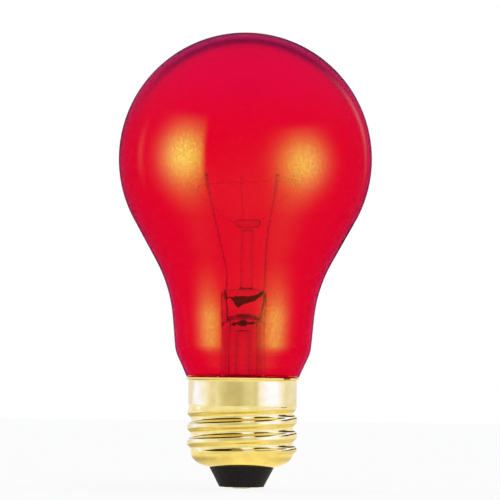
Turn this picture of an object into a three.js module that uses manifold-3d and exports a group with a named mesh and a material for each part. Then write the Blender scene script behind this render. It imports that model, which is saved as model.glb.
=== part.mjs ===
// A red safelight lamp: a pear-shaped glass bulb on a medium screw cap, with its stem, filament and wires.
// Millimetres, +Z up. The origin is the tip of the centre contact, on the lamp's axis, and the cap points
// down. The two lead wires lie in the XZ plane, and the filament's arc bulges towards +Y.

import * as THREE from "three";
import { mergeVertices } from "three/addons/utils/BufferGeometryUtils.js";
import Module from "manifold-3d";

const wasm = await Module();
wasm.setup();

const radians = THREE.MathUtils.degToRad;
const point = (x, y, z) => new THREE.Vector3(x, y, z);
const flat = (radius, height) => new THREE.Vector2(radius, height);

// ---------------------------------------------------------------- driving sizes

// Clearances
const gap = 0.3; // between two bodies that seat on each other
const wireGap = 0.06; // round a wire that glass or solder holds

// Bulb
const ballRadius = 30.15; // nineteen eighths of an inch across
const ballRise = 52; // cap's rim to the middle of the ball
const glassWall = 0.6;
const coneAngle = radians(29); // ball to waist, from the vertical
const waistRadius = 34; // hollow curve between the cone and the neck
const neckRadius = 16.05; // where the neck meets its shoulder
const neckTaper = radians(5.2);
const shoulderHeight = 6.2; // neck's foot above the cap's rim
const shoulderRound = 1.4; // length that the corner takes from each side
const shoulderProud = 0.4; // glass past the collar, where it seats on the lip

// Screw cap
const crestRadius = 13.1;
const threadDepth = 0.9;
const collarInset = 0.2; // collar's face inside the thread's crests
const collarLength = 6.35;
const threadPitch = 25.4 / 7;
const threadLength = 11.7;
const threadRun = 2.2; // run-out of the thread at the collar
const footRun = 1; // run-in of the thread at its foot
const crestRise = 6.3; // a crest on the -X side above the thread's foot
const footDepth = 3.1; // rolled-in foot below the thread
const mouthRadius = 7.8; // opening that the insulator fills
const sheet = 0.3;
const lipReach = 0.8; // lip past the collar
const lipHeight = 0.75;
const leadDrop = 0.8; // where the side lead leaves, below the lip

// Insulator and centre contact
const insulatorHeight = 4.7; // the part that shows below the cap
const insulatorFace = 5.25; // radius of its flat end
const insulatorRise = 1.1; // its web above the foot's lowest point
const contactStep = 0.1; // contact disc past the insulator's end
const solderTip = 0.3; // solder past the contact disc
const discMargin = 0.95; // insulator's end past the contact disc
const discSheet = 0.35;
const shankRadius = 1.7;
const shankWall = 0.75;
const shankLength = 3;
const solderRadius = 2.3;
const solderFlat = 0.95; // flat that the socket's tongue presses

// Neck seal and cement
const neckToCap = 1.1; // room between neck and thread
const sealDepth = 8.85; // neck's end below the cap's rim
const cementLength = 3;

// Stem
const stemLength = 30.3; // neck's end to the top of the press
const tubeRadius = 5.15;
const tubeTaper = 0.45; // tube's growth down to where the bell begins
const tubeWall = 0.95;
const bellHeight = 9.4;
const bellRim = 0.95;
const pressLength = 12.9; // the length over which the tube is pinched
const pressFlat = 4.9; // the fully flat part of it
const pressWidth = 10.8;
const pressThickness = 4.2;
const pressCorner = 1.2;
const roofDepth = 10.5; // solid glass above the tube's bore
const exhaustRadius = 2.1;
const exhaustWall = 0.7;
const exhaustReach = 1.9; // exhaust tube's end above the bore's roof
const exhaustTipDepth = 6.1; // sealed tip below the neck's end
const blowHoleRadius = 0.9;
const rodRadius = 1.55;
const buttonRadius = 3.2;
const buttonThickness = 2.1;
const buttonDrop = 10.8; // filament's level above the middle of the button

// Wires
const leadRadius = 0.22;
const sealRadius = 0.2;
const outerRadius = 0.2;
const fuseRadius = 0.12;
const supportRadius = 0.13;
const filamentRadius = 0.2;
const leadInset = 0.95; // from the edge of the press to a lead
const leftBend = 0.14; // each lead's bend, as a share of the way up to the filament
const rightBend = 0.436;
const rightReach = 0.6; // right lead's lean outwards, up to its bend
const hookSlack = 0.12; // round the filament's leg in its hook
const hookRise = 0.35;
const hookDrop = 1.5;
const hookRun = 0.8; // straight run of the leg past its hook
const loopRadius = 1.05;
const loopTail = 1.5;
const filamentDrop = 4.4; // filament's level below the middle of the ball
const leftTip = -9.3;
const rightTip = 7.7;
const leftSpread = 2.35; // each loop outside its lead's tip
const rightSpread = 4.7;
const sideBow = 3.2; // filament's arc, behind the leads at the side loops
const backBow = 11.2; // and at the back loop

// ---------------------------------------------------------------- heights that follow

const rootRadius = crestRadius - threadDepth;
const collarRadius = crestRadius - collarInset;
const innerCollar = collarRadius - sheet;
const contactHeight = solderTip; // underside of the contact disc
const faceHeight = contactHeight + contactStep; // insulator's flat end
const mouthHeight = faceHeight + insulatorHeight;
const threadFoot = mouthHeight + footDepth;
const threadTop = threadFoot + threadLength;
const rimHeight = threadTop + collarLength;
const sealHeight = rimHeight - sealDepth;
const neckEndRadius = rootRadius - sheet - neckToCap;
const tipHeight = sealHeight - exhaustTipDepth;
const pressTop = sealHeight + stemLength;
const pressStart = pressTop - pressLength;
const cavityRoof = pressTop - roofDepth;
const exhaustTop = cavityRoof + exhaustReach;
const rootReach = (exhaustRadius + tubeRadius - tubeWall) / 2; // leads' distance from the axis in the bore
const leadReach = pressWidth / 2 - leadInset;
const ballHeight = rimHeight + ballRise;
const filamentHeight = ballHeight - filamentDrop;
const buttonHeight = filamentHeight - buttonDrop;
const discRadius = insulatorFace - discMargin;
const shankBore = shankRadius - shankWall;
const hookRadius = leadRadius + filamentRadius + hookSlack;

// ---------------------------------------------------------------- helpers

// A solid of revolution about Z from (radius, height) points.
function turned(outline, segments) {
  return new THREE.LatheGeometry(outline, segments).rotateX(Math.PI / 2);
}

// A polyline moved to its right by distance, each corner along its bisector.
function beside(outline, distance) {
  return outline.map((here, i) => {
    const before = outline[Math.max(i - 1, 0)];
    const after = outline[Math.min(i + 1, outline.length - 1)];
    const along = after.clone().sub(before).normalize();
    return flat(Math.max(here.x + along.y * distance, 0), here.y - along.x * distance);
  });
}

// Points along a quadratic curve.
function bend(start, middle, end, steps) {
  return new THREE.QuadraticBezierCurve(start, middle, end).getPoints(steps);
}

// Points along an arc about centre, from one angle to another.
function arc(centre, radius, from, to, steps) {
  const at = (i) => from + ((to - from) * i) / steps;
  return Array.from({ length: steps + 1 }, (_, i) =>
    flat(centre.x + radius * Math.cos(at(i)), centre.y + radius * Math.sin(at(i))),
  );
}

// A round wire along the smooth curve through its points, with a ring of corners every step.
function wire(points, radius, step, sides = 6) {
  const section = new THREE.Shape(
    Array.from({ length: sides }, (_, i) => {
      const angle = (2 * Math.PI * i) / sides;
      return flat(radius * Math.cos(angle), radius * Math.sin(angle));
    }),
  );
  const path = new THREE.CatmullRomCurve3(points);
  const steps = Math.ceil(path.getLength() / step);
  return new THREE.ExtrudeGeometry(section, { steps, extrudePath: path, bevelEnabled: false });
}

// The room that a wire takes in glass or solder: a little wider, and longer at both ends.
function channel(points, radius, step) {
  const beyond = (end, next) => end.clone().add(end.clone().sub(next).setLength(2 * wireGap));
  const first = beyond(points[0], points[1]);
  const last = beyond(points[points.length - 1], points[points.length - 2]);
  return wire([first, ...points, last], radius + wireGap, step);
}

// A path whose inner corners are rounded off over reach, ready for wire.
function rounded(points, reach) {
  return points.flatMap((here, i) => {
    if (i === 0 || i === points.length - 1) return [here];
    const back = points[i - 1].clone().sub(here).setLength(reach);
    const on = points[i + 1].clone().sub(here).setLength(reach);
    const middle = here.clone().addScaledVector(back, 0.25).addScaledVector(on, 0.25);
    return [here.clone().add(back), middle, here.clone().add(on)];
  });
}

// A round bar between two points.
function bar(start, end, radius, sides) {
  const along = end.clone().sub(start);
  const turn = new THREE.Quaternion().setFromUnitVectors(point(0, 1, 0), along.clone().normalize());
  const middle = start.clone().add(end).multiplyScalar(0.5);
  return new THREE.CylinderGeometry(radius, radius, along.length(), sides)
    .applyQuaternion(turn)
    .translate(middle.x, middle.y, middle.z);
}

function solid(geometry) {
  const bare = geometry.index ? geometry.toNonIndexed() : geometry.clone();
  bare.deleteAttribute("normal");
  bare.deleteAttribute("uv");
  const merged = mergeVertices(bare, 1e-4);
  const corners = new Uint32Array(merged.index.array);
  const vertProperties = merged.attributes.position.array;
  return new wasm.Manifold(new wasm.Mesh({ numProp: 3, vertProperties, triVerts: corners }));
}

function geometryOf(body) {
  const mesh = body.getMesh();
  const made = new THREE.BufferGeometry();
  made.setAttribute("position", new THREE.BufferAttribute(mesh.vertProperties, 3));
  made.setIndex(new THREE.BufferAttribute(mesh.triVerts, 1));
  return made;
}

// geometry with each of the tools cut out of it.
function cut(geometry, ...tools) {
  return geometryOf(tools.reduce((body, tool) => body.subtract(solid(tool)), solid(geometry)));
}

function smooth(low, high, value) {
  return THREE.MathUtils.smoothstep(value, low, high);
}

// ---------------------------------------------------------------- bulb

// The outside of the glass, from the crown down to the neck's open end.
function bulbOutline() {
  const ballEnd = flat(ballRadius * Math.cos(coneAngle), ballHeight - ballRadius * Math.sin(coneAngle));
  const neckFoot = flat(neckRadius, rimHeight + shoulderHeight);
  const coneWay = flat(-Math.sin(coneAngle), -Math.cos(coneAngle));
  const neckWay = flat(-Math.sin(neckTaper), -Math.cos(neckTaper));
  // Where the cone's line would meet the neck's line
  const across = coneWay.x * neckWay.y - coneWay.y * neckWay.x;
  const apart = neckFoot.clone().sub(ballEnd);
  const coneRun = (apart.x * neckWay.y - apart.y * neckWay.x) / across;
  const meeting = ballEnd.clone().addScaledVector(coneWay, coneRun);
  const half = Math.tan((coneAngle - neckTaper) / 2);
  const room = Math.min(coneRun, meeting.distanceTo(neckFoot) - shoulderRound);
  const waist = Math.min(waistRadius, room / half);
  const waistStart = meeting.clone().addScaledVector(coneWay, -waist * half);
  const waistCentre = flat(
    waistStart.x + waist * Math.cos(coneAngle),
    waistStart.y - waist * Math.sin(coneAngle),
  );
  const seat = flat(collarRadius + shoulderProud, rimHeight + gap);
  const shoulderWay = seat.clone().sub(neckFoot).setLength(shoulderRound);
  return [
    ...arc(flat(0, ballHeight), ballRadius, Math.PI / 2, -coneAngle, 14),
    ...arc(waistCentre, waist, Math.PI - coneAngle, Math.PI - neckTaper, 5),
    ...bend(
      neckFoot.clone().addScaledVector(neckWay, -shoulderRound),
      neckFoot,
      neckFoot.clone().add(shoulderWay),
      3,
    ),
    seat,
    flat(innerCollar - 3 * sheet, rimHeight - lipHeight),
    flat(neckEndRadius, threadTop),
    flat(neckEndRadius, sealHeight),
  ];
}

function glassBulb() {
  const outside = bulbOutline();
  const inside = beside(outside, glassWall);
  inside[0] = flat(0, ballHeight + ballRadius - glassWall);
  return turned([...inside, ...outside.reverse()], 36);
}

// ---------------------------------------------------------------- screw cap

// The foot's outside, from the mouth up to the thread.
function footCurve(steps) {
  const middle = flat(rootRadius - 0.65, mouthHeight + 0.8);
  return bend(flat(mouthRadius, mouthHeight), middle, flat(rootRadius, threadFoot), steps);
}

// The collar's outside, from the thread up to the lip's edge.
function collarCurve() {
  const lipStart = flat(collarRadius, rimHeight - lipHeight);
  const lipEnd = flat(collarRadius + lipReach, rimHeight - sheet);
  return [
    flat(collarRadius, threadTop + sheet),
    ...bend(lipStart, flat(collarRadius, lipEnd.y - 0.05), lipEnd, 3),
  ];
}

// How far the rolled thread moves the sheet at a place.
function threadWave(x, y, z) {
  const middle = (crestRadius + rootRadius) / 2;
  const runIn = smooth(threadFoot, threadFoot + footRun, z);
  const runOut = 1 - smooth(threadTop - threadRun, threadTop, z);
  const turns = (z - threadFoot - crestRise) / threadPitch - (Math.atan2(y, x) - Math.PI) / (2 * Math.PI);
  const plain = THREE.MathUtils.lerp(rootRadius, collarRadius, smooth(threadFoot, threadTop, z));
  const wave = (middle - plain) + ((crestRadius - rootRadius) / 2) * Math.cos(2 * Math.PI * turns);
  return runIn * runOut * wave;
}

function screwShell() {
  const rows = 22;
  const wall = Array.from({ length: rows - 1 }, (_, i) => {
    const height = threadFoot + (threadLength * (i + 1)) / rows;
    const radius = THREE.MathUtils.lerp(rootRadius, collarRadius, smooth(threadFoot, threadTop, height));
    return flat(radius, height);
  });
  const outside = [...footCurve(5), ...wall, ...collarCurve()];
  const inside = beside(outside, -sheet);
  const shell = turned([...outside, ...inside.reverse(), outside[0]], 36);
  const place = shell.getAttribute("position");
  for (let i = 0; i < place.count; i++) {
    const [x, y, z] = [place.getX(i), place.getY(i), place.getZ(i)];
    if (z <= threadFoot || z >= threadTop) continue;
    const grown = 1 + threadWave(x, y, z) / Math.hypot(x, y);
    place.setXY(i, x * grown, y * grown);
  }
  // The side lead comes out through a notch in the lip.
  const notchHalf = outerRadius + gap;
  const notch = new THREE.BoxGeometry(2 * notchHalf, 3 * lipReach, 4 * notchHalf)
    .translate(0, collarRadius + 0.5 * lipReach, rimHeight - leadDrop + notchHalf);
  return cut(shell, notch);
}

function baseInsulator() {
  const seatHeight = contactHeight + discSheet + gap;
  const inside = beside(footCurve(5), -(sheet + gap)).filter((p) => p.x > mouthRadius + gap);
  const shoulder = inside[inside.length - 1];
  return turned(
    [
      flat(shankRadius + gap, seatHeight),
      flat(discRadius + gap, seatHeight),
      flat(discRadius + gap, faceHeight),
      flat(insulatorFace, faceHeight),
      flat(mouthRadius - gap, mouthHeight - gap),
      flat(mouthRadius - gap, inside[0].y),
      ...inside,
      flat(shoulder.x - 1.2, shoulder.y + 0.2),
      flat(mouthRadius, mouthHeight + insulatorRise + 0.6),
      flat(shankRadius + 1.6, mouthHeight + insulatorRise - 1.2),
      flat(shankRadius + gap, mouthHeight + insulatorRise - 1.2),
      flat(shankRadius + gap, seatHeight),
    ],
    32,
  );
}

function contactEyelet() {
  const top = contactHeight + discSheet;
  return turned(
    [
      flat(shankBore, contactHeight),
      flat(discRadius - 0.15, contactHeight),
      flat(discRadius, contactHeight + 0.15),
      flat(discRadius, top),
      flat(shankRadius, top),
      flat(shankRadius, top + shankLength),
      flat(shankBore, top + shankLength),
      flat(shankBore, contactHeight),
    ],
    28,
  );
}

function centreSolder() {
  const top = contactHeight - wireGap;
  const plug = shankBore - wireGap;
  return turned(
    [
      flat(0, 0),
      flat(solderFlat, 0),
      ...bend(
        flat(solderFlat + 0.25, 0.03),
        flat(solderRadius - 0.1, 0.08),
        flat(solderRadius, top - 0.05),
        4,
      ),
      flat(solderRadius - 0.1, top),
      flat(plug, top),
      flat(plug, contactHeight + discSheet + 0.6),
      flat(0, contactHeight + discSheet + 0.6),
    ],
    24,
  );
}

// The cement ring between the neck and the collar, with a channel for the side lead.
function baseCement(sideLead) {
  const top = threadTop + cementLength + gap;
  const outer = innerCollar - gap;
  const neckAt = (height) => {
    const share = (height - threadTop) / (rimHeight - lipHeight - threadTop);
    return THREE.MathUtils.lerp(neckEndRadius, innerCollar - 3 * sheet, share) + 0.5 * gap;
  };
  const ring = turned(
    [
      flat(neckAt(threadTop + gap), threadTop + gap),
      flat(outer, threadTop + gap),
      flat(outer, top),
      flat(neckAt(top), top),
      flat(neckAt(threadTop + gap), threadTop + gap),
    ],
    36,
  );
  return cut(ring, channel(sideLead, outerRadius, outerStep));
}

// The side lead's solder, a bead under the lip on the +Y side.
function sideSolder(sideLead) {
  const bead = new THREE.SphereGeometry(1, 20, 12)
    .scale(1.9, 0.95, 1.15)
    .translate(0, collarRadius + 0.45, rimHeight - 1.05);
  const collar = collarCurve();
  const tool = turned(
    [
      flat(0, threadTop),
      ...beside(collar, wireGap),
      flat(collarRadius + lipReach + wireGap, rimHeight + 2),
      flat(0, rimHeight + 2),
    ],
    36,
  );
  return cut(bead, tool, channel(sideLead, outerRadius, outerStep));
}

// ---------------------------------------------------------------- stem

// The round tube is pinched flat towards its top.
function pressed(geometry) {
  const place = geometry.getAttribute("position");
  for (let i = 0; i < place.count; i++) {
    const share = smooth(pressStart, pressTop - pressFlat, place.getZ(i));
    const wide = THREE.MathUtils.lerp(1, pressWidth / (2 * tubeRadius), share);
    const thick = THREE.MathUtils.lerp(1, pressThickness / (2 * tubeRadius), share);
    place.setXY(i, place.getX(i) * wide, place.getY(i) * thick);
  }
  return geometry;
}

function stemTube(channels) {
  const rim = flat(neckEndRadius, sealHeight - gap);
  const bellTop = flat(tubeRadius + tubeTaper, sealHeight + bellHeight);
  const inward = THREE.MathUtils.lerp(bellTop.x, neckEndRadius, 0.15);
  const bell = bend(rim, flat(inward, sealHeight), bellTop, 8);
  const wall = [...bell, flat(tubeRadius, pressStart), flat(tubeRadius, cavityRoof)];
  const inside = beside(wall, -tubeWall);
  inside[0] = flat(neckEndRadius - bellRim, sealHeight - gap - bellRim);
  const corner = flat(tubeRadius, pressTop);
  const flatten = [1, 2, 3].map((i) => flat(tubeRadius, cavityRoof + ((roofDepth - pressFlat) * i) / 3));
  const tube = turned(
    [
      flat(0, cavityRoof),
      ...inside.reverse(),
      flat(neckEndRadius, sealHeight - gap - bellRim),
      ...wall,
      ...flatten,
      ...bend(flat(tubeRadius, pressTop - pressCorner), corner, flat(tubeRadius - pressCorner, pressTop), 3),
      flat(0, pressTop),
    ],
    28,
  );
  const socketTop = exhaustTop + gap;
  const socket = bar(point(0, 0, cavityRoof - 1), point(0, 0, socketTop), exhaustRadius + gap, 20);
  const holeHeight = socketTop + 0.4 * blowHoleRadius;
  const hole = bar(point(0, 0, holeHeight), point(0, -tubeRadius, holeHeight), blowHoleRadius, 12);
  return cut(pressed(tube), socket, hole, ...channels);
}

function exhaustTube() {
  const bore = exhaustRadius - exhaustWall;
  return turned(
    [
      flat(0, tipHeight),
      flat(0.45 * exhaustRadius, tipHeight + 0.4),
      flat(exhaustRadius, tipHeight + 3.2),
      flat(exhaustRadius, exhaustTop),
      flat(bore, exhaustTop),
      flat(bore, tipHeight + 4),
      flat(0, tipHeight + 2.2),
    ],
    20,
  );
}

function buttonRod(channels) {
  const foot = pressTop + wireGap;
  const low = buttonHeight - buttonThickness / 2;
  const high = buttonHeight + buttonThickness / 2;
  const edge = flat(buttonRadius - buttonThickness / 2, buttonHeight);
  const rod = turned(
    [
      flat(0, foot),
      flat(rodRadius + 0.35, foot),
      flat(rodRadius, foot + 0.5),
      flat(rodRadius, low - 0.2),
      flat(rodRadius + 0.5, low),
      ...arc(edge, buttonThickness / 2, -Math.PI / 2.6, Math.PI / 2, 5),
      flat(0, high),
    ],
    24,
  );
  return cut(rod, ...channels);
}

// ---------------------------------------------------------------- wires

// An inner lead, from the press up to a hook that folds over the filament's leg.
function leadPath(side, tip, bendShare, lean) {
  const top = filamentHeight + hookRise;
  const bendHeight = THREE.MathUtils.lerp(pressTop, filamentHeight, bendShare);
  const over = Array.from({ length: 5 }, (_, i) => {
    const angle = (Math.PI * i) / 4;
    return point(tip, -hookRadius * (1 - Math.cos(angle)), top + hookRadius * Math.sin(angle));
  });
  return [
    ...rounded(
      [
        point(side * leadReach, 0, pressTop - 0.5),
        point(side * (leadReach + lean), 0, bendHeight),
        point(tip, 0, top - hookDrop),
        point(tip, 0, top - 0.4),
      ],
      0.6,
    ),
    ...over,
    point(tip, -2 * hookRadius, top - hookDrop),
  ];
}

// The end of the cavity and the top of the press, where a seal wire starts and stops.
function sealEnds(side) {
  const low = point(side * rootReach, 0, cavityRoof - 0.6);
  const high = point(side * leadReach, 0, pressTop - 0.6);
  return [low, high];
}

// A support: a straight stalk, one turn round the filament, and a short tail.
function supportPath(loop) {
  const away = loop.centre.clone().setZ(0).setLength(0.72 * buttonRadius);
  const foot = point(away.x, away.y, buttonHeight + 0.15);
  const toLoop = loop.centre.clone().sub(foot);
  const onward = toLoop.addScaledVector(loop.axis, -toLoop.dot(loop.axis)).normalize();
  const across = loop.axis.clone().cross(onward);
  const drift = 2 * supportRadius + 0.2;
  const turn = Array.from({ length: 13 }, (_, i) => {
    const angle = (2 * Math.PI * i) / 12;
    return loop.centre
      .clone()
      .addScaledVector(across, -loopRadius * Math.cos(angle))
      .addScaledVector(onward, loopRadius * Math.sin(angle))
      .addScaledVector(loop.axis, drift * (i / 12 - 0.5));
  });
  const last = turn[12].clone().addScaledVector(onward, loopTail);
  const straight = [0, 0.35, 0.7].map((share) => foot.clone().lerp(turn[0], share));
  return [...straight, ...turn, last];
}

// Where each support holds the filament, and the way the filament runs there.
const loops = {
  left: { centre: point(leftTip - leftSpread, sideBow, filamentHeight - 1.7), axis: point(0, 1, 0) },
  back: { centre: point((leftTip + rightTip) / 2, backBow, filamentHeight), axis: point(1, 0, 0) },
  right: { centre: point(rightTip + rightSpread, sideBow, filamentHeight - 0.1), axis: point(0, -1, 0) },
};

function filamentPath() {
  const leg = (x) => point(x, -hookRadius, filamentHeight);
  return rounded(
    [
      leg(leftTip + 1.6 * hookRun),
      leg(leftTip - hookRun),
      loops.left.centre,
      loops.back.centre,
      loops.right.centre,
      leg(rightTip + hookRun),
      leg(rightTip - 1.6 * hookRun),
    ],
    0.3,
  );
}

// The side lead: down the stem, out under its bell, and up between neck and cap to the lip.
function sidePath() {
  const start = sealEnds(-1)[0];
  const channel = neckEndRadius + 0.55 * neckToCap;
  const under = sealHeight - gap - bellRim - 1.3;
  const collarRoom = innerCollar - 0.42;
  return rounded(
    [
      point(start.x, 0, start.z - wireGap),
      point(start.x, 0, sealHeight + 3),
      point(-2.2, 5.2, under + 0.4),
      point(0, channel - 2, under),
      point(0, channel, under + 1.6),
      point(0, channel + 0.05, threadTop - 0.5),
      point(0, collarRoom, rimHeight - 1.7),
      point(0, collarRoom + 0.05, rimHeight - leadDrop - 0.25),
      point(0, collarRadius + 0.6, rimHeight - leadDrop),
    ],
    0.5,
  );
}

const fuseTop = sealHeight - 1.5; // the centre lead's copper ends here
const fuseStart = point(2.9, -0.6, fuseTop);

function centrePath() {
  const start = sealEnds(1)[0];
  return rounded(
    [
      point(start.x, 0, start.z - wireGap),
      point(start.x, 0, sealHeight + 3),
      point(fuseStart.x, fuseStart.y, fuseStart.z + wireGap),
    ],
    0.8,
  );
}

function fusePath() {
  const end = contactHeight + discSheet + 0.7;
  return rounded(
    [
      point(fuseStart.x, fuseStart.y, fuseStart.z - wireGap),
      point(2.4, -0.5, tipHeight + 0.4),
      point(0.1, -0.1, tipHeight - 2.6),
      point(0, 0, end),
    ],
    1,
  );
}

// ---------------------------------------------------------------- assembly

const finishes = {
  redGlass: { color: 0xdc0a28, roughness: 0.05, metalness: 0, transparent: true, opacity: 0.6 },
  clearGlass: { color: 0xe8eef0, roughness: 0.05, metalness: 0, transparent: true, opacity: 0.35 },
  brass: { color: 0xe6c878, roughness: 0.25, metalness: 1 },
  blackGlass: { color: 0x141212, roughness: 0.3, metalness: 0 },
  solder: { color: 0xb4b6b8, roughness: 0.4, metalness: 1 },
  cement: { color: 0xc8b48c, roughness: 0.9, metalness: 0 },
  nickel: { color: 0xa0968c, roughness: 0.35, metalness: 1 },
  sealAlloy: { color: 0x8c3a2a, roughness: 0.45, metalness: 1 },
  copper: { color: 0xb87346, roughness: 0.35, metalness: 1 },
  fuse: { color: 0xa8a49c, roughness: 0.4, metalness: 1 },
  molybdenum: { color: 0x77787c, roughness: 0.4, metalness: 1 },
  tungsten: { color: 0x5c5c60, roughness: 0.5, metalness: 1 },
};

const lamp = new THREE.Group();

function add(name, geometry, finish) {
  const made = new THREE.Mesh(geometry, new THREE.MeshStandardMaterial(finishes[finish]));
  made.name = name;
  lamp.add(made);
}

const sideLead = sidePath();
const seals = [-1, 1].map((side) => sealEnds(side));
const leads = [leadPath(-1, leftTip, leftBend, 0), leadPath(1, rightTip, rightBend, rightReach)];
const supports = Object.fromEntries(
  Object.entries(loops).map(([side, loop]) => [side, supportPath(loop)]),
);
const leadStep = 0.45; // rings of corners along each wire
const supportStep = 0.42;
const outerStep = 0.5;

add("glass_bulb", glassBulb(), "redGlass");
add(
  "stem_tube",
  stemTube([
    ...seals.map(([low, high]) => {
      const on = high.clone().sub(low).setLength(2);
      return bar(low.clone().sub(on), high.clone().add(on), sealRadius + wireGap, 8);
    }),
    ...leads.map((path) => channel(path, leadRadius, leadStep)),
  ]),
  "clearGlass",
);
add("exhaust_tube", exhaustTube(), "clearGlass");
add(
  "button_rod",
  buttonRod(Object.values(supports).map((path) => channel(path, supportRadius, supportStep))),
  "clearGlass",
);

["left", "right"].forEach((side, i) => {
  const [low, high] = seals[i];
  add(`inner_lead_${side}`, wire(leads[i], leadRadius, leadStep), "nickel");
  add(`seal_wire_${side}`, bar(low, high.clone().lerp(low, wireGap / 5), sealRadius, 8), "sealAlloy");
});
for (const [side, path] of Object.entries(supports)) {
  add(`support_wire_${side}`, wire(path, supportRadius, supportStep), "molybdenum");
}
add("filament", wire(filamentPath(), filamentRadius, leadStep * 1.3), "tungsten");

add("outer_lead_side", wire(sideLead, outerRadius, outerStep), "copper");
add("outer_lead_centre", wire(centrePath(), outerRadius, outerStep * 1.4), "copper");
add("fuse_link", wire(fusePath(), fuseRadius, outerStep * 1.4), "fuse");

add("screw_shell", screwShell(), "brass");
add("base_insulator", baseInsulator(), "blackGlass");
add("contact_eyelet", contactEyelet(), "brass");
add("centre_solder", centreSolder(), "solder");
add("side_solder", sideSolder(sideLead), "solder");
add("base_cement", baseCement(sideLead), "cement");

export default lamp;
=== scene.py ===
"""Looks of a red safelight lamp: its glass, screw cap, stem, wires and studio.

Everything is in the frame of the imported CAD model: metres, +Z up the lamp's axis from the tip of the
centre contact. The classes hold their sizes in millimetres, and the mesh helpers turn them into metres.
"""

import logging
import math
from collections.abc import Callable, Iterable
from dataclasses import dataclass
from enum import Enum

import bmesh
import bpy
from mathutils import Matrix, Vector, noise

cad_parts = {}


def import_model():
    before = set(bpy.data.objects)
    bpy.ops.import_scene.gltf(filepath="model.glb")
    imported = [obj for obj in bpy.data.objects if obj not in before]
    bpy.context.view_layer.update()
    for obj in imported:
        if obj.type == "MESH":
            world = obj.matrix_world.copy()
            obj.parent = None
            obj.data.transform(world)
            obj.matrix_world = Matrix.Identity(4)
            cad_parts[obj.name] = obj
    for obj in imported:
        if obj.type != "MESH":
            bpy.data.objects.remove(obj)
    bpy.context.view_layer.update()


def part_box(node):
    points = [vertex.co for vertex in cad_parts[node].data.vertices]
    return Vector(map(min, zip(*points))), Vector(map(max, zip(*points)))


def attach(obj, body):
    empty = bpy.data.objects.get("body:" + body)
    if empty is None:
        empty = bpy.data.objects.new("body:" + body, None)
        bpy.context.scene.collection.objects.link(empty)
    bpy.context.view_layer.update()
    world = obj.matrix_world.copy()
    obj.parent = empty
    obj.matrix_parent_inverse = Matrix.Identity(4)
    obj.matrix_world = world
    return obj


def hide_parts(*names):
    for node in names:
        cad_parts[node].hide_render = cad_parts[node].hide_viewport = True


MM = 0.001
BODY = "root"
TINY = 1e-6
CREASE = 38.0

Point = tuple[float, float]
Place = tuple[float, float, float]
Colour = tuple[float, float, float]
Outline = list[Point]
Ring = list[Vector]
Tree = bpy.types.NodeTree
Socket = bpy.types.NodeSocket

log = logging.getLogger("lamp")


# ---------------------------------------------------------------- curves and outlines


def arc(centre: Point, radius: float, start: float, end: float, steps: int) -> Outline:
    """Points along an arc.

    Args:
        centre: Radius and height of the arc's centre.
        radius: The arc's radius.
        start: First angle, in radians from outwards, anticlockwise.
        end: Last angle.
        steps: Number of stretches.

    Returns:
        The points, both ends among them.
    """
    angles = (start + (end - start) * i / steps for i in range(steps + 1))
    return [(centre[0] + radius * math.cos(a), centre[1] + radius * math.sin(a)) for a in angles]


def straight(start: Point, end: Point, steps: int) -> Outline:
    """Points along a straight line.

    Args:
        start: First point.
        end: Last point.
        steps: Number of stretches.

    Returns:
        The points, both ends among them.
    """
    shares = (i / steps for i in range(steps + 1))
    return [(start[0] + (end[0] - start[0]) * t, start[1] + (end[1] - start[1]) * t) for t in shares]


def bend(start: Point, middle: Point, end: Point, steps: int) -> Outline:
    """Points along a quadratic curve.

    Args:
        start: First point.
        middle: Point that the curve leans towards.
        end: Last point.
        steps: Number of stretches.

    Returns:
        The points, both ends among them.
    """
    points = []
    for i in range(steps + 1):
        t = i / steps
        weights = ((1 - t) ** 2, 2 * t * (1 - t), t**2)
        leaned = [(w * p[0], w * p[1]) for w, p in zip(weights, (start, middle, end))]
        points.append((sum(x for x, _ in leaned), sum(y for _, y in leaned)))
    return points


def beside(outline: Outline, distance: float) -> Outline:
    """An outline moved to its right.

    Args:
        outline: The points to move.
        distance: How far, along each point's bisector.

    Returns:
        The moved points, none of them past the axis.
    """
    moved = []
    for i, (x, y) in enumerate(outline):
        before, after = outline[max(i - 1, 0)], outline[min(i + 1, len(outline) - 1)]
        along = Vector((after[0] - before[0], after[1] - before[1])).normalized()
        moved.append((max(x + along.y * distance, 0.0), y - along.x * distance))
    return moved


def smooth_path(points: Iterable[Iterable[float]], spacing: float, fineness: int = 24) -> list[Vector]:
    """A smooth curve through points, at an even spacing.

    Args:
        points: Points that the curve passes through.
        spacing: Wanted distance between the new points.
        fineness: Stretches between two of the points, before they are spaced evenly.

    Returns:
        The new points, both ends among them.
    """
    knots = [Vector(p) for p in points]
    knots = [knots[0] * 2 - knots[1], *knots, knots[-1] * 2 - knots[-2]]
    fine: list[Vector] = []
    for a, b, c, d in zip(knots, knots[1:], knots[2:], knots[3:]):
        gaps = [max((q - p).length, TINY) ** 0.5 for p, q in ((a, b), (b, c), (c, d))]
        leave = ((b - a) / gaps[0] - (c - a) / (gaps[0] + gaps[1]) + (c - b) / gaps[1]) * gaps[1]
        reach = ((c - b) / gaps[1] - (d - b) / (gaps[1] + gaps[2]) + (d - c) / gaps[2]) * gaps[1]
        for i in range(fineness):
            t = i / fineness
            fine.append(
                b * (2 * t**3 - 3 * t**2 + 1)
                + leave * (t**3 - 2 * t**2 + t)
                + c * (3 * t**2 - 2 * t**3)
                + reach * (t**3 - t**2)
            )
    fine.append(knots[-2])
    return evenly(fine, spacing)


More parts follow.
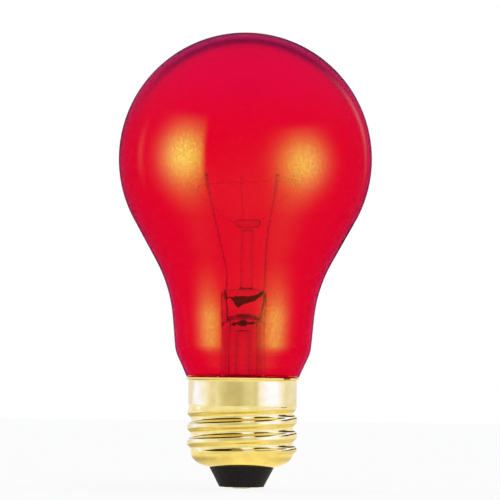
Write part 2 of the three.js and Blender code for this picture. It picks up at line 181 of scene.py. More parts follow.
def evenly(line: list[Vector], spacing: float) -> list[Vector]:
    """A polyline's points laid out again at an even spacing.

    Args:
        line: The polyline.
        spacing: Wanted distance between the new points.

    Returns:
        The new points, both ends among them.
    """
    travelled = [0.0]
    for here, there in zip(line, line[1:]):
        travelled.append(travelled[-1] + (there - here).length)
    count = max(2, round(travelled[-1] / spacing))
    placed, k = [], 0
    for i in range(count + 1):
        target = travelled[-1] * i / count
        while k < len(line) - 2 and travelled[k + 1] < target:
            k += 1
        share = (target - travelled[k]) / max(travelled[k + 1] - travelled[k], TINY)
        placed.append(line[k].lerp(line[k + 1], min(share, 1.0)))
    return placed


def ease(low: float, high: float, value: float) -> float:
    """A smooth step from 0 at low to 1 at high.

    Args:
        low: Value at which the step starts.
        high: Value at which it ends.
        value: Where to read it.

    Returns:
        The step's height there.
    """
    t = min(max((value - low) / (high - low), 0.0), 1.0)
    return t * t * (3 - 2 * t)


# ---------------------------------------------------------------- meshes


def put(name: str, data: bpy.types.ID) -> bpy.types.Object:
    """A new object in the scene.

    Args:
        name: The object's name.
        data: The mesh or camera that it holds.

    Returns:
        The object.
    """
    made = bpy.data.objects.new(name, data)
    bpy.context.scene.collection.objects.link(made)
    return made


def make_mesh(
    name: str, corners: list[Vector], faces: list[tuple[int, ...]], crease: float = CREASE
) -> bpy.types.Object:
    """A smooth-shaded object in the scene.

    Args:
        name: The object's name.
        corners: Places of its corners, in millimetres.
        faces: Corner numbers of each face.
        crease: Angle in degrees above which an edge stays sharp.

    Returns:
        The object.
    """
    mesh = bpy.data.meshes.new(name)
    mesh.from_pydata([c * MM for c in corners], [], faces)
    mesh.validate()
    mesh.polygons.foreach_set("use_smooth", [True] * len(mesh.polygons))
    mesh.set_sharp_from_angle(angle=math.radians(crease))
    mesh.update()
    return put(name, mesh)


def angles(sides: int) -> list[float]:
    """The bearings of a ring's corners, in radians."""
    return [2 * math.pi * i / sides for i in range(sides)]


def circle(radius: float, height: float, segments: int) -> Ring:
    """A level ring about the axis, of one corner where it has no width.

    Args:
        radius: The ring's radius.
        height: Its height.
        segments: Its corners.

    Returns:
        The ring.
    """
    sides = segments if radius > TINY else 1
    return [Vector((radius * math.cos(t), radius * math.sin(t), height)) for t in angles(sides)]


def loft(name: str, rings: list[Ring], wrap: bool = False, crease: float = CREASE) -> bpy.types.Object:
    """A closed skin over rings of corners.

    A ring of one corner closes to a point. Other end rings are filled flat.

    Args:
        name: The object's name.
        rings: The rings in order, each anticlockwise about the way they run.
        wrap: Whether the last ring joins the first one.
        crease: Angle in degrees above which an edge stays sharp.

    Returns:
        The object.
    """
    corners = [corner for ring in rings for corner in ring]
    starts = [sum(len(r) for r in rings[:i]) for i in range(len(rings))]
    faces: list[tuple[int, ...]] = []
    pairs = list(zip(range(len(rings)), range(1, len(rings))))
    if wrap:
        pairs.append((len(rings) - 1, 0))
    for low, high in pairs:
        a, b, sides = starts[low], starts[high], max(len(rings[low]), len(rings[high]))
        for i in range(sides):
            j = (i + 1) % sides
            if len(rings[low]) == 1:
                faces.append((a, b + j, b + i))
            elif len(rings[high]) == 1:
                faces.append((a + i, a + j, b))
            else:
                faces.append((a + i, a + j, b + j, b + i))
    if not wrap and len(rings[0]) > 2:
        faces.append(tuple(reversed(range(starts[0], starts[0] + len(rings[0])))))
    if not wrap and len(rings[-1]) > 2:
        faces.append(tuple(range(starts[-1], starts[-1] + len(rings[-1]))))
    return make_mesh(name, corners, faces, crease)


def lathe(
    name: str,
    outline: Outline,
    segments: int = 96,
    wrap: bool = False,
    shape: Callable[[Vector], Vector] | None = None,
    crease: float = CREASE,
) -> bpy.types.Object:
    """A body of revolution about Z.

    Args:
        name: The object's name.
        outline: Radius and height of each point, the outside running upwards.
        segments: Corners round the axis.
        wrap: Whether the outline closes on itself rather than on the axis.
        shape: Moves each corner off the true round, if given.
        crease: Angle in degrees above which an edge stays sharp.

    Returns:
        The object.
    """
    rings = [circle(radius, height, segments) for radius, height in outline]
    if shape:
        rings = [[shape(corner) for corner in ring] for ring in rings]
    return loft(name, rings, wrap, crease)


def sweep(
    name: str,
    path: list[Vector],
    widths: list[Point],
    sides: int = 12,
    up: Vector | None = None,
    dome: float = 0.7,
) -> bpy.types.Object:
    """A wire along a path, with rounded ends.

    Args:
        name: The object's name.
        path: Points of its centreline.
        widths: Half width and half thickness at each point, or one pair for all of them.
        sides: Corners round the wire.
        up: Way that the thickness faces, or None for a frame carried along the path.
        dome: Share of the width, and of the way to the tip, at the ring that rounds each end.

    Returns:
        The object.
    """
    if len(widths) == 1:
        widths = widths * len(path)
    last = len(path) - 1
    tangents = [(path[min(i + 1, last)] - path[max(i - 1, 0)]).normalized() for i in range(len(path))]
    carried = up or tangents[0].orthogonal().normalized()
    rings: list[Ring] = []
    for i, (here, along, (wide, thick)) in enumerate(zip(path, tangents, widths)):
        carried = (up or carried) - along * (up or carried).dot(along)
        carried.normalize()
        side = carried.cross(along)
        around = [-side * wide * math.cos(t) + carried * thick * math.sin(t) for t in angles(sides)]
        if i == 0:
            rings.append([here - along * thick])
            rings.append([here - along * thick * dome + a * dome for a in around])
        rings.append([here + a for a in around])
        if i == last:
            rings.append([here + along * thick * dome + a * dome for a in around])
            rings.append([here + along * thick])
    return loft(name, rings, crease=70)


def lumpy(amount: float, grain: float, seed: float) -> Callable[[Vector], Vector]:
    """A mover of corners that makes a poured or soldered surface.

    Args:
        amount: Largest move, in millimetres.
        grain: Size of the lumps, in millimetres.
        seed: Offset that tells one surface from another.

    Returns:
        A function from a corner to its new place.
    """

    def move(corner: Vector) -> Vector:
        """The corner, moved by the noise at its place."""
        return corner + noise.noise_vector(corner / grain + Vector((seed, 0, 0))) * amount

    return move


# ---------------------------------------------------------------- shader nodes


def _plug(tree: Tree, socket: Socket, value: Socket | Colour | float) -> None:
    """Links a socket to the one that gives its value, or sets a plain value on it.

    Args:
        tree: The tree that it is in.
        socket: The socket.
        value: Its value.
    """
    if isinstance(value, Socket):
        tree.links.new(value, socket)
    else:
        socket.default_value = (*value, 1.0) if isinstance(value, tuple) else value


def _node(tree: Tree, kind: str, **inputs: Socket | Colour | float) -> bpy.types.Node:
    """Adds a node.

    Args:
        tree: Tree to add it to.
        kind: Its type, after the start that they all share.
        **inputs: What goes into it, with underscores for the spaces in a socket's name.

    Returns:
        The node.
    """
    node = tree.nodes.new(f"ShaderNode{kind}")
    for label, value in inputs.items():
        _plug(tree, node.inputs[label.replace("_", " ")], value)
    return node


def _maths(
    tree: Tree, operation: str, first: Socket | float, second: Socket | float = 0.0, clamp: bool = False
) -> Socket:
    """Adds a Math node.

    Args:
        tree: Tree to add it to.
        operation: Its operation.
        first: Its first number.
        second: Its second, which an operation on one number leaves out.
        clamp: Whether the result is held between 0 and 1.

    Returns:
        The result.
    """
    node = _node(tree, "Math")
    node.operation = operation
    node.use_clamp = clamp
    _plug(tree, node.inputs[0], first)
    _plug(tree, node.inputs[1], second)
    return node.outputs[0]


def _degrees(tree: Tree, operation: str, first: Socket, second: Socket | float = 0.0) -> Socket:
    """The angle that an operation gives, in degrees."""
    return _maths(tree, "DEGREES", _maths(tree, operation, first, second))


def _mix(tree: Tree, share: Socket, first: Socket | Colour, second: Socket | Colour) -> Socket:
    """Mixes two colours.

    Args:
        tree: Tree to add the mix to.
        share: How much of the second one shows.
        first: Colour where the share is 0.
        second: Colour where it is 1.

    Returns:
        The mixed colour.
    """
    node = _node(tree, "Mix")
    node.data_type = "RGBA"
    _plug(tree, node.inputs["Factor"], share)
    _plug(tree, node.inputs[6], first)
    _plug(tree, node.inputs[7], second)
    return node.outputs[2]


def _bell(tree: Tree, value: Socket, middle: float, spread: float) -> Socket:
    """The exponent of a bell curve.

    Args:
        tree: Tree to add it to.
        value: The number that it is read at.
        middle: Where the bell has its top.
        spread: Its standard deviation.

    Returns:
        Minus half the square of the distance in spreads.
    """
    away = _maths(tree, "DIVIDE", _maths(tree, "SUBTRACT", value, middle), spread)
    return _maths(tree, "MULTIPLY", _maths(tree, "MULTIPLY", away, away), -0.5)


def _step(tree: Tree, value: Socket, low: float, high: float) -> Socket:
    """A smooth step.

    Args:
        tree: Tree to add it to.
        value: The number that it is read at.
        low: Number where the step is 0.
        high: Number where it is 1, above or below the other.

    Returns:
        The step's height.
    """
    node = _node(tree, "MapRange", Value=value, From_Min=min(low, high), From_Max=max(low, high))
    node.interpolation_type = "SMOOTHSTEP"
    _plug(tree, node.inputs["To Min"], 0.0 if low < high else 1.0)
    _plug(tree, node.inputs["To Max"], 1.0 if low < high else 0.0)
    return node.outputs["Result"]


def _colour_ramp(
    tree: Tree, value: Socket, span: Point, stops: Iterable[tuple[float, Colour]], white: float = 1.0
) -> Socket:
    """A run of colours, which may be brighter than 1.

    Args:
        tree: Tree to add it to.
        value: The number that it is read at.
        span: Least and greatest number that it may be.
        stops: Each number with the colour there.
        white: Brightness that the ramp's own white stands for.

    Returns:
        The colour.
    """
    (low, high), stops = span, list(stops)
    share = _maths(tree, "DIVIDE", _maths(tree, "SUBTRACT", value, low), high - low)
    node = _node(tree, "ValToRGB", Fac=share)
    while len(node.color_ramp.elements) < len(stops):
        node.color_ramp.elements.new(0.5)
    for element, (place, colour) in zip(node.color_ramp.elements, stops):
        element.position = (place - low) / (high - low)
        element.color = (*(c / white for c in colour), 1)
    scaled = _node(tree, "VectorMath")
    scaled.operation = "SCALE"
    _plug(tree, scaled.inputs["Scale"], white)
    _plug(tree, scaled.inputs[0], node.outputs["Color"])
    return scaled.outputs[0]


def _ramp(tree: Tree, value: Socket, span: Point, stops: Iterable[Point]) -> Socket:
    """A curve through given numbers from 0 to 1.

    Args:
        tree: Tree to add it to.
        value: The number that it is read at.
        span: Least and greatest number that it may be.
        stops: Each number with the curve's height there.

    Returns:
        The height.
    """
    return _colour_ramp(tree, value, span, [(place, (h, h, h)) for place, h in stops])


# ---------------------------------------------------------------- shared effects


class Effects:
    """The shader groups that several finishes share, each built once."""

    def __init__(self) -> None:
        """Starts with no group built."""
        self._made: dict[str, Tree] = {}

    def _group(
        self, name: str, inputs: dict[str, float], fill: Callable[[Tree, bpy.types.NodeOutputs], Socket]
    ) -> Tree:
        """Finds a group, or builds it.

        Args:
            name: The group's name.
            inputs: Name and usual value of each number that it takes.
            fill: Adds its nodes, from the sockets that it takes to the one for its mask.

        Returns:
            The group.
        """
        if name not in self._made:
            tree = bpy.data.node_groups.new(name, "ShaderNodeTree")
            tree.interface.new_socket(name="Vector", in_out="INPUT", socket_type="NodeSocketVector")
            for label, value in inputs.items():
                socket = tree.interface.new_socket(name=label, in_out="INPUT", socket_type="NodeSocketFloat")
                socket.default_value = value
            tree.interface.new_socket(name="Mask", in_out="OUTPUT", socket_type="NodeSocketFloat")
            mask = fill(tree, tree.nodes.new("NodeGroupInput").outputs)
            tree.links.new(mask, tree.nodes.new("NodeGroupOutput").inputs["Mask"])
            self._made[name] = tree
        return self._made[name]

    def mottle(self) -> Tree:
        """Cloudy patches.

        Returns:
            A group that takes Scale and Contrast and gives Mask, from 0 to 1.
        """

        def fill(tree: Tree, take: bpy.types.NodeOutputs) -> Socket:
            """Noise, spread out from its middle.

            Args:
                tree: The group's tree.
                take: The sockets that it takes.

            Returns:
                The cloudy mask.
            """
            cloud = _node(tree, "TexNoise", Vector=take["Vector"], Scale=take["Scale"], Detail=4)
            centred = _maths(tree, "SUBTRACT", cloud.outputs["Fac"], 0.5)
            return _maths(tree, "ADD", _maths(tree, "MULTIPLY", centred, take["Contrast"]), 0.5, clamp=True)

        return self._group("cloudy_mottle", {"Scale": 100, "Contrast": 1}, fill)

    def drawn_lines(self) -> Tree:
        """Fine lines left by rolling or drawing.

        Returns:
            A group that takes Across and Along, lines to the metre each way, and gives Mask, from 0 to 1.
        """

        def fill(tree: Tree, take: bpy.types.NodeOutputs) -> Socket:
            """Noise that is finer up the lamp than round it, or the other way about.

            Args:
                tree: The group's tree.
                take: The sockets that it takes.

            Returns:
                The lines.
            """
            apart = _node(tree, "SeparateXYZ", Vector=take["Vector"]).outputs
            paces = {"X": take["Along"], "Y": take["Along"], "Z": take["Across"]}
            stretched = {axis: _maths(tree, "MULTIPLY", apart[axis], pace) for axis, pace in paces.items()}
            place = _node(tree, "CombineXYZ", **stretched).outputs[0]
            return _node(tree, "TexNoise", Vector=place, Scale=1, Detail=3).outputs["Fac"]

        return self._group("drawn_lines", {"Across": 4000, "Along": 40}, fill)

    def height_fade(self) -> Tree:
        """A fade up the lamp.

        Returns:
            A group that takes Low and High, heights in metres, and gives Mask, 0 at Low and 1 at High.
        """

        def fill(tree: Tree, take: bpy.types.NodeOutputs) -> Socket:
            """A smooth step in the height.

            Args:
                tree: The group's tree.
                take: The sockets that it takes.

            Returns:
                The step.
            """
            height = _node(tree, "SeparateXYZ", Vector=take["Vector"]).outputs["Z"]
            fade = _node(tree, "MapRange", Value=height, From_Min=take["Low"], From_Max=take["High"])
            fade.interpolation_type = "SMOOTHSTEP"
            return fade.outputs["Result"]

        return self._group("height_fade", {"Low": 0, "High": 1}, fill)

    def specks(self) -> Tree:
        """Scattered small spots.

        Returns:
            A group that takes Scale, spots to the metre, and Size, and gives Mask, 1 on a spot.
        """

        def fill(tree: Tree, take: bpy.types.NodeOutputs) -> Socket:
            """The middles of random cells, with a narrow edge.

            Args:
                tree: The group's tree.
                take: The sockets that it takes.

            Returns:
                The spots.
            """
            cells = _node(tree, "TexVoronoi", Vector=take["Vector"], Scale=take["Scale"])
            near = _maths(tree, "SUBTRACT", take["Size"], cells.outputs["Distance"])
            return _maths(tree, "MULTIPLY", near, 12.0, clamp=True)

        return self._group("fine_specks", {"Scale": 500, "Size": 0.2}, fill)


class Surface:
    """A material under construction, with its tree and its Principled BSDF."""

    def __init__(self, name: str) -> None:
        """Starts a material.

        Args:
            name: The material's name.
        """
        self.material = bpy.data.materials.new(name)
        self.material.use_nodes = True
        self.tree = self.material.node_tree
        self.shader = self.tree.nodes["Principled BSDF"]

    def set(self, **values: Socket | Colour | float) -> None:
        """Feeds the shader, with underscores for the spaces in a socket's name."""
        for label, value in values.items():
            _plug(self.tree, self.shader.inputs[label.replace("_", " ")], value)

    def effect(self, group: Tree, **values: float) -> Socket:
        """Places a shared group.

        Args:
            group: The group.
            **values: Its numbers, by socket name.

        Returns:
            The group's mask.
        """
        node = _node(self.tree, "Group")
        node.node_tree = group
        _plug(self.tree, node.inputs["Vector"], _node(self.tree, "TexCoord").outputs["Object"])
        for label, value in values.items():
            _plug(self.tree, node.inputs[label], value)
        return node.outputs[0]

    def blend(self, share: Socket, first: Socket | Colour, second: Socket | Colour) -> Socket:
        """Mixes two colours, the second of them by the share."""
        return _mix(self.tree, share, first, second)

    def times(self, first: Socket, second: Socket | float, clamp: bool = False) -> Socket:
        """Multiplies two numbers, and holds the result between 0 and 1 if asked."""
        return _maths(self.tree, "MULTIPLY", first, second, clamp)

    def span(self, value: Socket, low: float, high: float) -> Socket:
        """Maps a mask to a span of numbers.

        Args:
            value: The mask.
            low: Number where it is 0.
            high: Number where it is 1.

        Returns:
            The number.
        """
        return _maths(self.tree, "ADD", self.times(value, high - low), low)

    def emboss(self, heights: list[tuple[Socket, float]]) -> None:
        """Adds up heights into one bump.

        Args:
            heights: Each mask with its depth in millimetres.
        """
        total: Socket | float = 0.0
        for mask, depth in heights:
            total = _maths(self.tree, "ADD", self.times(mask, depth * MM), total)
        self.set(Normal=_node(self.tree, "Bump", Distance=1.0, Height=total).outputs["Normal"])


# ---------------------------------------------------------------- finishes


class Marks(Enum):
    """Which way a metal's working lines run."""

    ROUND = (5200.0, 30.0)
    ALONG = (60.0, 5200.0)
    CAST = (700.0, 700.0)


# Painted dark reflection near the crown: how strongly it shows at each turn from face on.
CROWN_REFLECTION_RAMP = (
    (0.0, 0.0),
    (0.52, 0.0),
    (0.60, 0.25),
    (0.645, 0.95),
    (0.685, 0.95),
    (0.72, 0.5),
    (0.86, 0.5),
    (1.0, 0.3),
)


@dataclass(frozen=True)
class GlassFinish:
    """Clear or coloured glass.

    tint is what one wall lets through face on, and rim the colour that takes over towards the edges, for
    rim_power as the power of the turn between them and rim_low as the share of it below the fade. The
    colour towards the edges is partly the longer path through the wall and partly painted shade. thin is the
    tint where the colour thins out, between the two heights of fade in metres. sheen colours its mirror
    image. ripple and pebble are the depths of its long and short waves, in millimetres. grain is how much of
    grain_tint shows in a fine speckle below the fade. crown is the colour of a painted dark reflection, an
    arc near the crown's edge, held near the crown by the height fade to the power crown_reflection_power.
    dust is how much of the light a speck of dust lets through. Scales are in lumps to the metre.
    """

    name: str
    slot: str
    tint: Colour
    rim: Colour
    thin: Colour | None = None
    fade: Point = (0.0, 1.0)
    sheen: Colour = (1.0, 1.0, 1.0)
    index: float = 1.5
    ripple: float = 0.01
    ripple_scale: float = 55
    pebble: float = 0.0
    pebble_scale: float = 1700
    rim_power: float = 3.0
    rim_low: float = 1.0
    grain: float = 0.0
    grain_tint: Colour = (1.0, 1.0, 1.0)
    grain_scale: float = 1900
    grain_contrast: float = 9
    grain_floor: float = 0.35
    crown: Colour | None = None
    crown_reflection_power: float = 2.0
    dust: float = 0.82
    dust_scale: float = 420
    dust_size: float = 0.06

    def make(self, effects: Effects) -> bpy.types.Material:
        """Builds the material.

        Args:
            effects: The shared groups.

        Returns:
            The material.
        """
        surface = Surface(self.name)
        tree = surface.tree
        surface.set(Transmission_Weight=1.0, IOR=self.index, Roughness=0.0, Metallic=0.0)
        height = surface.effect(effects.height_fade(), Low=self.fade[0], High=self.fade[1])
        colour = surface.blend(height, self.tint, self.thin or self.tint)
        grain = surface.effect(effects.mottle(), Scale=self.grain_scale, Contrast=self.grain_contrast)
        grain = _maths(tree, "SUBTRACT", grain, self.grain_floor, clamp=True)
        below = _maths(tree, "SUBTRACT", 1.0, height, clamp=True)
        grain = surface.times(surface.times(grain, below), self.grain)
        colour = surface.blend(grain, colour, self.grain_tint)
        # Colour towards the edges: partly the longer path through the wall, partly painted shade.
        turn = _node(tree, "LayerWeight", Blend=0.5).outputs["Facing"]
        path_and_edge_shade = _maths(tree, "POWER", turn, self.rim_power)
        path_and_edge_shade = surface.times(path_and_edge_shade, surface.span(height, self.rim_low, 1.0))
        colour = surface.blend(path_and_edge_shade, colour, self.rim)
        # Painted dark reflection: an arc near the crown's edge.
        if self.crown:
            near_crown = _maths(tree, "POWER", height, self.crown_reflection_power)
            painted_reflection = surface.times(_ramp(tree, turn, (0, 1), CROWN_REFLECTION_RAMP), near_crown)
            colour = surface.blend(painted_reflection, colour, self.crown)
        dust = surface.effect(effects.specks(), Scale=self.dust_scale, Size=self.dust_size)
        colour = surface.blend(dust, colour, tuple(c * self.dust for c in self.tint))
        surface.set(Base_Color=colour, Specular_Tint=self.sheen)
        long_wave = surface.effect(effects.mottle(), Scale=self.ripple_scale, Contrast=1)
        short_wave = surface.effect(effects.mottle(), Scale=self.pebble_scale, Contrast=1)
        surface.emboss([(long_wave, self.ripple), (short_wave, self.pebble)])
        return surface.material


@dataclass(frozen=True)
class MetalFinish:
    """Sheet, wire or solder.

    bright is its clean colour, dull its tarnished one and worn how much of the dull one shows. roughness
    gives its least and greatest, and marks its working lines. The depths are in millimetres, and the scales
    in clouds or specks to the metre.
    """

    name: str
    slot: str
    bright: Colour
    dull: Colour
    roughness: Point
    marks: Marks
    worn: float = 0.5
    line_depth: float = 0.002
    lump_depth: float = 0.0
    cloud_scale: float = 160.0
    cloud_contrast: float = 2.2
    dust_scale: float = 900
    dust_size: float = 0.11
    streaks: float = 2.0

    def make(self, effects: Effects) -> bpy.types.Material:
        """Builds the material.

        Args:
            effects: The shared groups.

        Returns:
            The material.
        """
        surface = Surface(self.name)
        across, along = self.marks.value
        cloud = surface.effect(effects.mottle(), Scale=self.cloud_scale, Contrast=self.cloud_contrast)
        lines = surface.effect(effects.drawn_lines(), Across=across, Along=along)
        dust = surface.effect(effects.specks(), Scale=self.dust_scale, Size=self.dust_size)
        colour = surface.blend(surface.span(cloud, 0.0, self.worn), self.bright, self.dull)
        rough = surface.times(surface.times(cloud, lines), self.streaks, clamp=True)
        surface.set(
            Metallic=1.0,
            Base_Color=surface.blend(dust, colour, self.dull),
            Roughness=surface.span(rough, *self.roughness),
        )
        surface.emboss([(lines, self.line_depth), (cloud, self.lump_depth)])
        return surface.material


@dataclass(frozen=True)
class DullFinish:
    """Opaque glass, cement, and the painted shade of the press's pockets.

    light and dark are its two tones, scale its clouds to the metre, and pits how deep its pits are, in
    millimetres. lumps is how much deeper its clouds are, and fineness how much finer its pits are.
    """

    name: str
    slot: str
    light: Colour
    dark: Colour
    roughness: Point
    pits: float
    scale: float
    specular: float = 0.5
    contrast: float = 1.8
    fineness: float = 4
    pit_size: float = 0.25
    lumps: float = 2

    def make(self, effects: Effects) -> bpy.types.Material:
        """Builds the material.

        Args:
            effects: The shared groups.

        Returns:
            The material.
        """
        surface = Surface(self.name)
        cloud = surface.effect(effects.mottle(), Scale=self.scale, Contrast=self.contrast)
        grains = surface.effect(effects.specks(), Scale=self.scale * self.fineness, Size=self.pit_size)
        surface.set(
            Metallic=0.0,
            Specular_IOR_Level=self.specular,
            Base_Color=surface.blend(cloud, self.dark, self.light),
            Roughness=surface.span(cloud, *self.roughness),
        )
        surface.emboss([(grains, -self.pits), (cloud, self.pits * self.lumps)])
        return surface.material


Finish = GlassFinish | MetalFinish | DullFinish

RED_GLASS = GlassFinish(
    "red_safelight_glass",
    "red_glass",
    tint=(0.876, 0.004, 0.150),
    # rim: partly the longer path through the wall, partly painted edge shade.
    rim=(0.60, 0.11, 0.17),
    thin=(0.885, 0.060, 0.235),
    fade=(0.080, 0.104),
    sheen=(0.30, 1.0, 0.11),
    ripple=0.02,
    pebble=0.006,
    rim_power=5.0,
    rim_low=0.45,
    grain=0.6,
    grain_tint=(0.90, 0.19, 0.10),
    # crown: colour of the painted dark reflection near the crown's edge.
    crown=(0.20, 0.02, 0.16),
)
# The clear glass's rim colour is painted shade: a dark purple band along the edges of the rod and tubes.
CLEAR_GLASS = GlassFinish(
    "clear_stem_glass",
    "clear_glass",
    tint=(0.98, 0.98, 0.99),
    rim=(0.55, 0.30, 0.95),
    index=1.56,
    ripple=0.03,
    rim_power=0.9,
)
BRASS = MetalFinish(
    "bright_cap_brass",
    "brass",
    (0.95, 0.79, 0.29),
    (0.74, 0.57, 0.16),
    (0.03, 0.09),
    Marks.ROUND,
    worn=0.55,
    line_depth=0.0010,
    cloud_scale=420,
)
# The centre contact's brass is painted dark, as painted shade under the cap.
CONTACT_BRASS_PAINTED_SHADE = MetalFinish(
    "contact_brass_painted_shade", "brass", (0.24, 0.19, 0.10), (0.12, 0.09, 0.05), (0.28, 0.45), Marks.CAST
)
NICKEL = MetalFinish(
    "nickel_lead_wire", "nickel", (0.78, 0.68, 0.95), (0.56, 0.46, 0.80), (0.22, 0.38), Marks.ALONG
)
SEAL_WIRE = MetalFinish(
    "oxidised_seal_wire", "seal_alloy", (0.55, 0.30, 0.50), (0.30, 0.14, 0.30), (0.35, 0.5), Marks.ALONG
)
COPPER = MetalFinish(
    "bare_copper_wire", "copper", (0.90, 0.52, 0.36), (0.55, 0.28, 0.20), (0.22, 0.42), Marks.ALONG
)
FUSE = MetalFinish(
    "fuse_wire", "fuse_wire", (0.68, 0.66, 0.62), (0.45, 0.43, 0.40), (0.25, 0.4), Marks.ALONG
)
MOLYBDENUM = MetalFinish(
    "molybdenum_support_wire", "molybdenum", (0.96, 0.88, 0.95), (0.82, 0.74, 0.84), (0.3, 0.5), Marks.ALONG
)
TUNGSTEN = MetalFinish(
    "tungsten_coil", "tungsten", (0.94, 0.86, 0.92), (0.78, 0.70, 0.78), (0.35, 0.55), Marks.ALONG
)
SOLDER = MetalFinish(
    "soft_solder",
    "solder",
    (0.52, 0.53, 0.55),
    (0.26, 0.27, 0.29),
    (0.25, 0.48),
    Marks.CAST,
    line_depth=0.004,
    lump_depth=0.03,
    cloud_scale=700,
)
BLACK_GLASS = DullFinish(
    "black_base_glass",
    "black_glass",
    light=(0.013, 0.011, 0.011),
    dark=(0.006, 0.005, 0.005),
    roughness=(0.42, 0.65),
    pits=0.006,
    scale=420,
    specular=0.10,
)
# Painted shade: the dark that the press's pockets and the blow hole show, on pieces of their own.
POCKET_SHADE_GLASS = DullFinish(
    "painted_shade_press_pocket",
    "clear_glass",
    light=(0.17, 0.13, 0.40),
    dark=(0.035, 0.03, 0.09),
    roughness=(0.15, 0.4),
    pits=0.02,
    scale=1100,
    specular=0.3,
)
CEMENT = DullFinish(
    "basing_cement",
    "cement",
    light=(0.56, 0.44, 0.27),
    dark=(0.36, 0.27, 0.16),
    roughness=(0.8, 0.95),
    pits=0.05,
    scale=900,
)


# ---------------------------------------------------------------- placing


@dataclass
class Levels:
    """Heights of the lamp's parts along its axis, in millimetres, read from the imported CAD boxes."""

    face: float = 0.0
    mouth: float = 0.0
    rim: float = 0.0
    seal: float = 0.0
    crown: float = 0.0
    press: float = 0.0
    tip: float = 0.0
    filament: float = 0.0

    @classmethod
    def read(cls, sag: float = 0.2) -> "Levels":
        """Reads them from the frame.

        Args:
            sag: Depth of the filament's middle below its top.

        Returns:
            The heights.
        """

        def low(node: str) -> float:
            """Height of a node's lower end."""
            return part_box(node)[0].z / MM

        def high(node: str) -> float:
            """Height of its upper end."""
            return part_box(node)[1].z / MM

        return cls(
            face=low("base_insulator"),
            mouth=low("screw_shell"),
            rim=high("screw_shell"),
            seal=low("glass_bulb"),
            crown=high("glass_bulb"),
            press=high("stem_tube"),
            tip=low("exhaust_tube"),
            filament=high("filament") - sag,
        )


@dataclass
class Assembly:
    """A sub-assembly: the lamp's heights, and the shader groups that it shares with the others."""

    levels: Levels
    effects: Effects

    def finish(self, kind: Finish) -> bpy.types.Material:
        """The material of a finish, built the first time that it is asked for.

        Args:
            kind: The finish.

        Returns:
            The material.
        """
        if kind.name not in bpy.data.materials:
            kind.make(self.effects)
        return bpy.data.materials[kind.name]

    def place(self, piece: bpy.types.Object, node: str, kind: Finish) -> None:
        """Dresses a piece and lets it stand for its CAD node.

        Args:
            piece: The piece.
            node: The CAD node.
            kind: Its finish.
        """
        piece.data.materials.clear()
        piece.data.materials.append(self.finish(kind))
        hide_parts(node)
        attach(piece, BODY)
        log.info("%s stands for %s, %d faces, %s", piece.name, node, len(piece.data.polygons), kind.name)


# ---------------------------------------------------------------- bulb


@dataclass
class Bulb(Assembly):
    """The red glass: a ball, a cone, a hollow waist, a neck and the shoulder over the cap's rim."""

    ball_radius: float = 30.09
    wall: float = 0.6
    cone_angle: float = math.radians(29)
    waist_radius: float = 34.0
    neck_radius: float = 16.05
    neck_taper: float = math.radians(5.2)
    shoulder_height: float = 6.2
    shoulder_round: float = 1.5
    seat_radius: float = 13.3
    tuck_radius: float = 11.7
    tuck_depth: float = 0.9
    end_radius: float = 10.8
    end_rise: float = 6.35
    crown_gap: float = 0.01
    wave_length: float = 17.0
    wave_depth: float = 0.05
    wave_start: float = 20.0
    segments: int = 128

    def outline(self) -> Outline:
        """The outside of the glass, from the crown down to the neck's open end.

        Returns:
            Its points.
        """
        middle, rim = self.levels.crown - self.crown_gap - self.ball_radius, self.levels.rim
        cone, taper = self.cone_angle, self.neck_taper
        ball_end = Vector((self.ball_radius * math.cos(cone), middle - self.ball_radius * math.sin(cone)))
        foot = Vector((self.neck_radius, rim + self.shoulder_height))
        cone_way = Vector((-math.sin(cone), -math.cos(cone)))
        neck_way = Vector((-math.sin(taper), -math.cos(taper)))
        run = (foot - ball_end).cross(neck_way) / cone_way.cross(neck_way)
        meeting = ball_end + cone_way * run
        half = math.tan((cone - taper) / 2)
        room = min(run, (meeting - foot).length - self.shoulder_round)
        waist = min(self.waist_radius, room / half)
        start = meeting - cone_way * waist * half
        centre = (start.x + waist * math.cos(cone), start.y - waist * math.sin(cone))
        seat = Vector((self.seat_radius, rim + 0.3))
        above = foot - neck_way * self.shoulder_round
        below = foot + (seat - foot).normalized() * self.shoulder_round
        return [
            *arc((0, middle), self.ball_radius, math.pi / 2, -cone, 72),
            *arc(centre, waist, math.pi - cone, math.pi - taper, 18),
            *bend(tuple(above), tuple(foot), tuple(below), 10),
            tuple(foot.lerp(seat, 0.6)),
            (self.seat_radius - 0.06, rim + 0.05),
            (self.seat_radius - 0.9, rim - 0.5),
            (self.tuck_radius, rim - self.tuck_depth),
            (self.end_radius, rim - self.end_rise),
            (self.end_radius, self.levels.seal),
        ]

    def uneven(self, corner: Vector) -> Vector:
        """A corner of the inner face, moved a little, as blown glass is uneven.

        Args:
            corner: The corner on the even face.

        Returns:
            Its new place.
        """
        wave = noise.noise(corner / self.wave_length) * self.wave_depth
        outwards = Vector((corner.x, corner.y, 0)).normalized()
        return corner + outwards * wave * min(1.0, (corner.z - self.levels.seal) / self.wave_start)

    def build(self) -> None:
        """Makes the bulb."""
        outside = self.outline()
        inside = beside(outside, self.wall)
        inside[0] = (0.0, outside[0][1] - self.wall)
        rings = [circle(*point, self.segments) for point in inside]
        rings = [[self.uneven(c) for c in ring] if len(ring) > 1 else ring for ring in rings]
        rings += [circle(*point, self.segments) for point in reversed(outside)]
        self.place(loft("bulb_glass", rings, crease=50), "glass_bulb", RED_GLASS)


# ---------------------------------------------------------------- screw cap


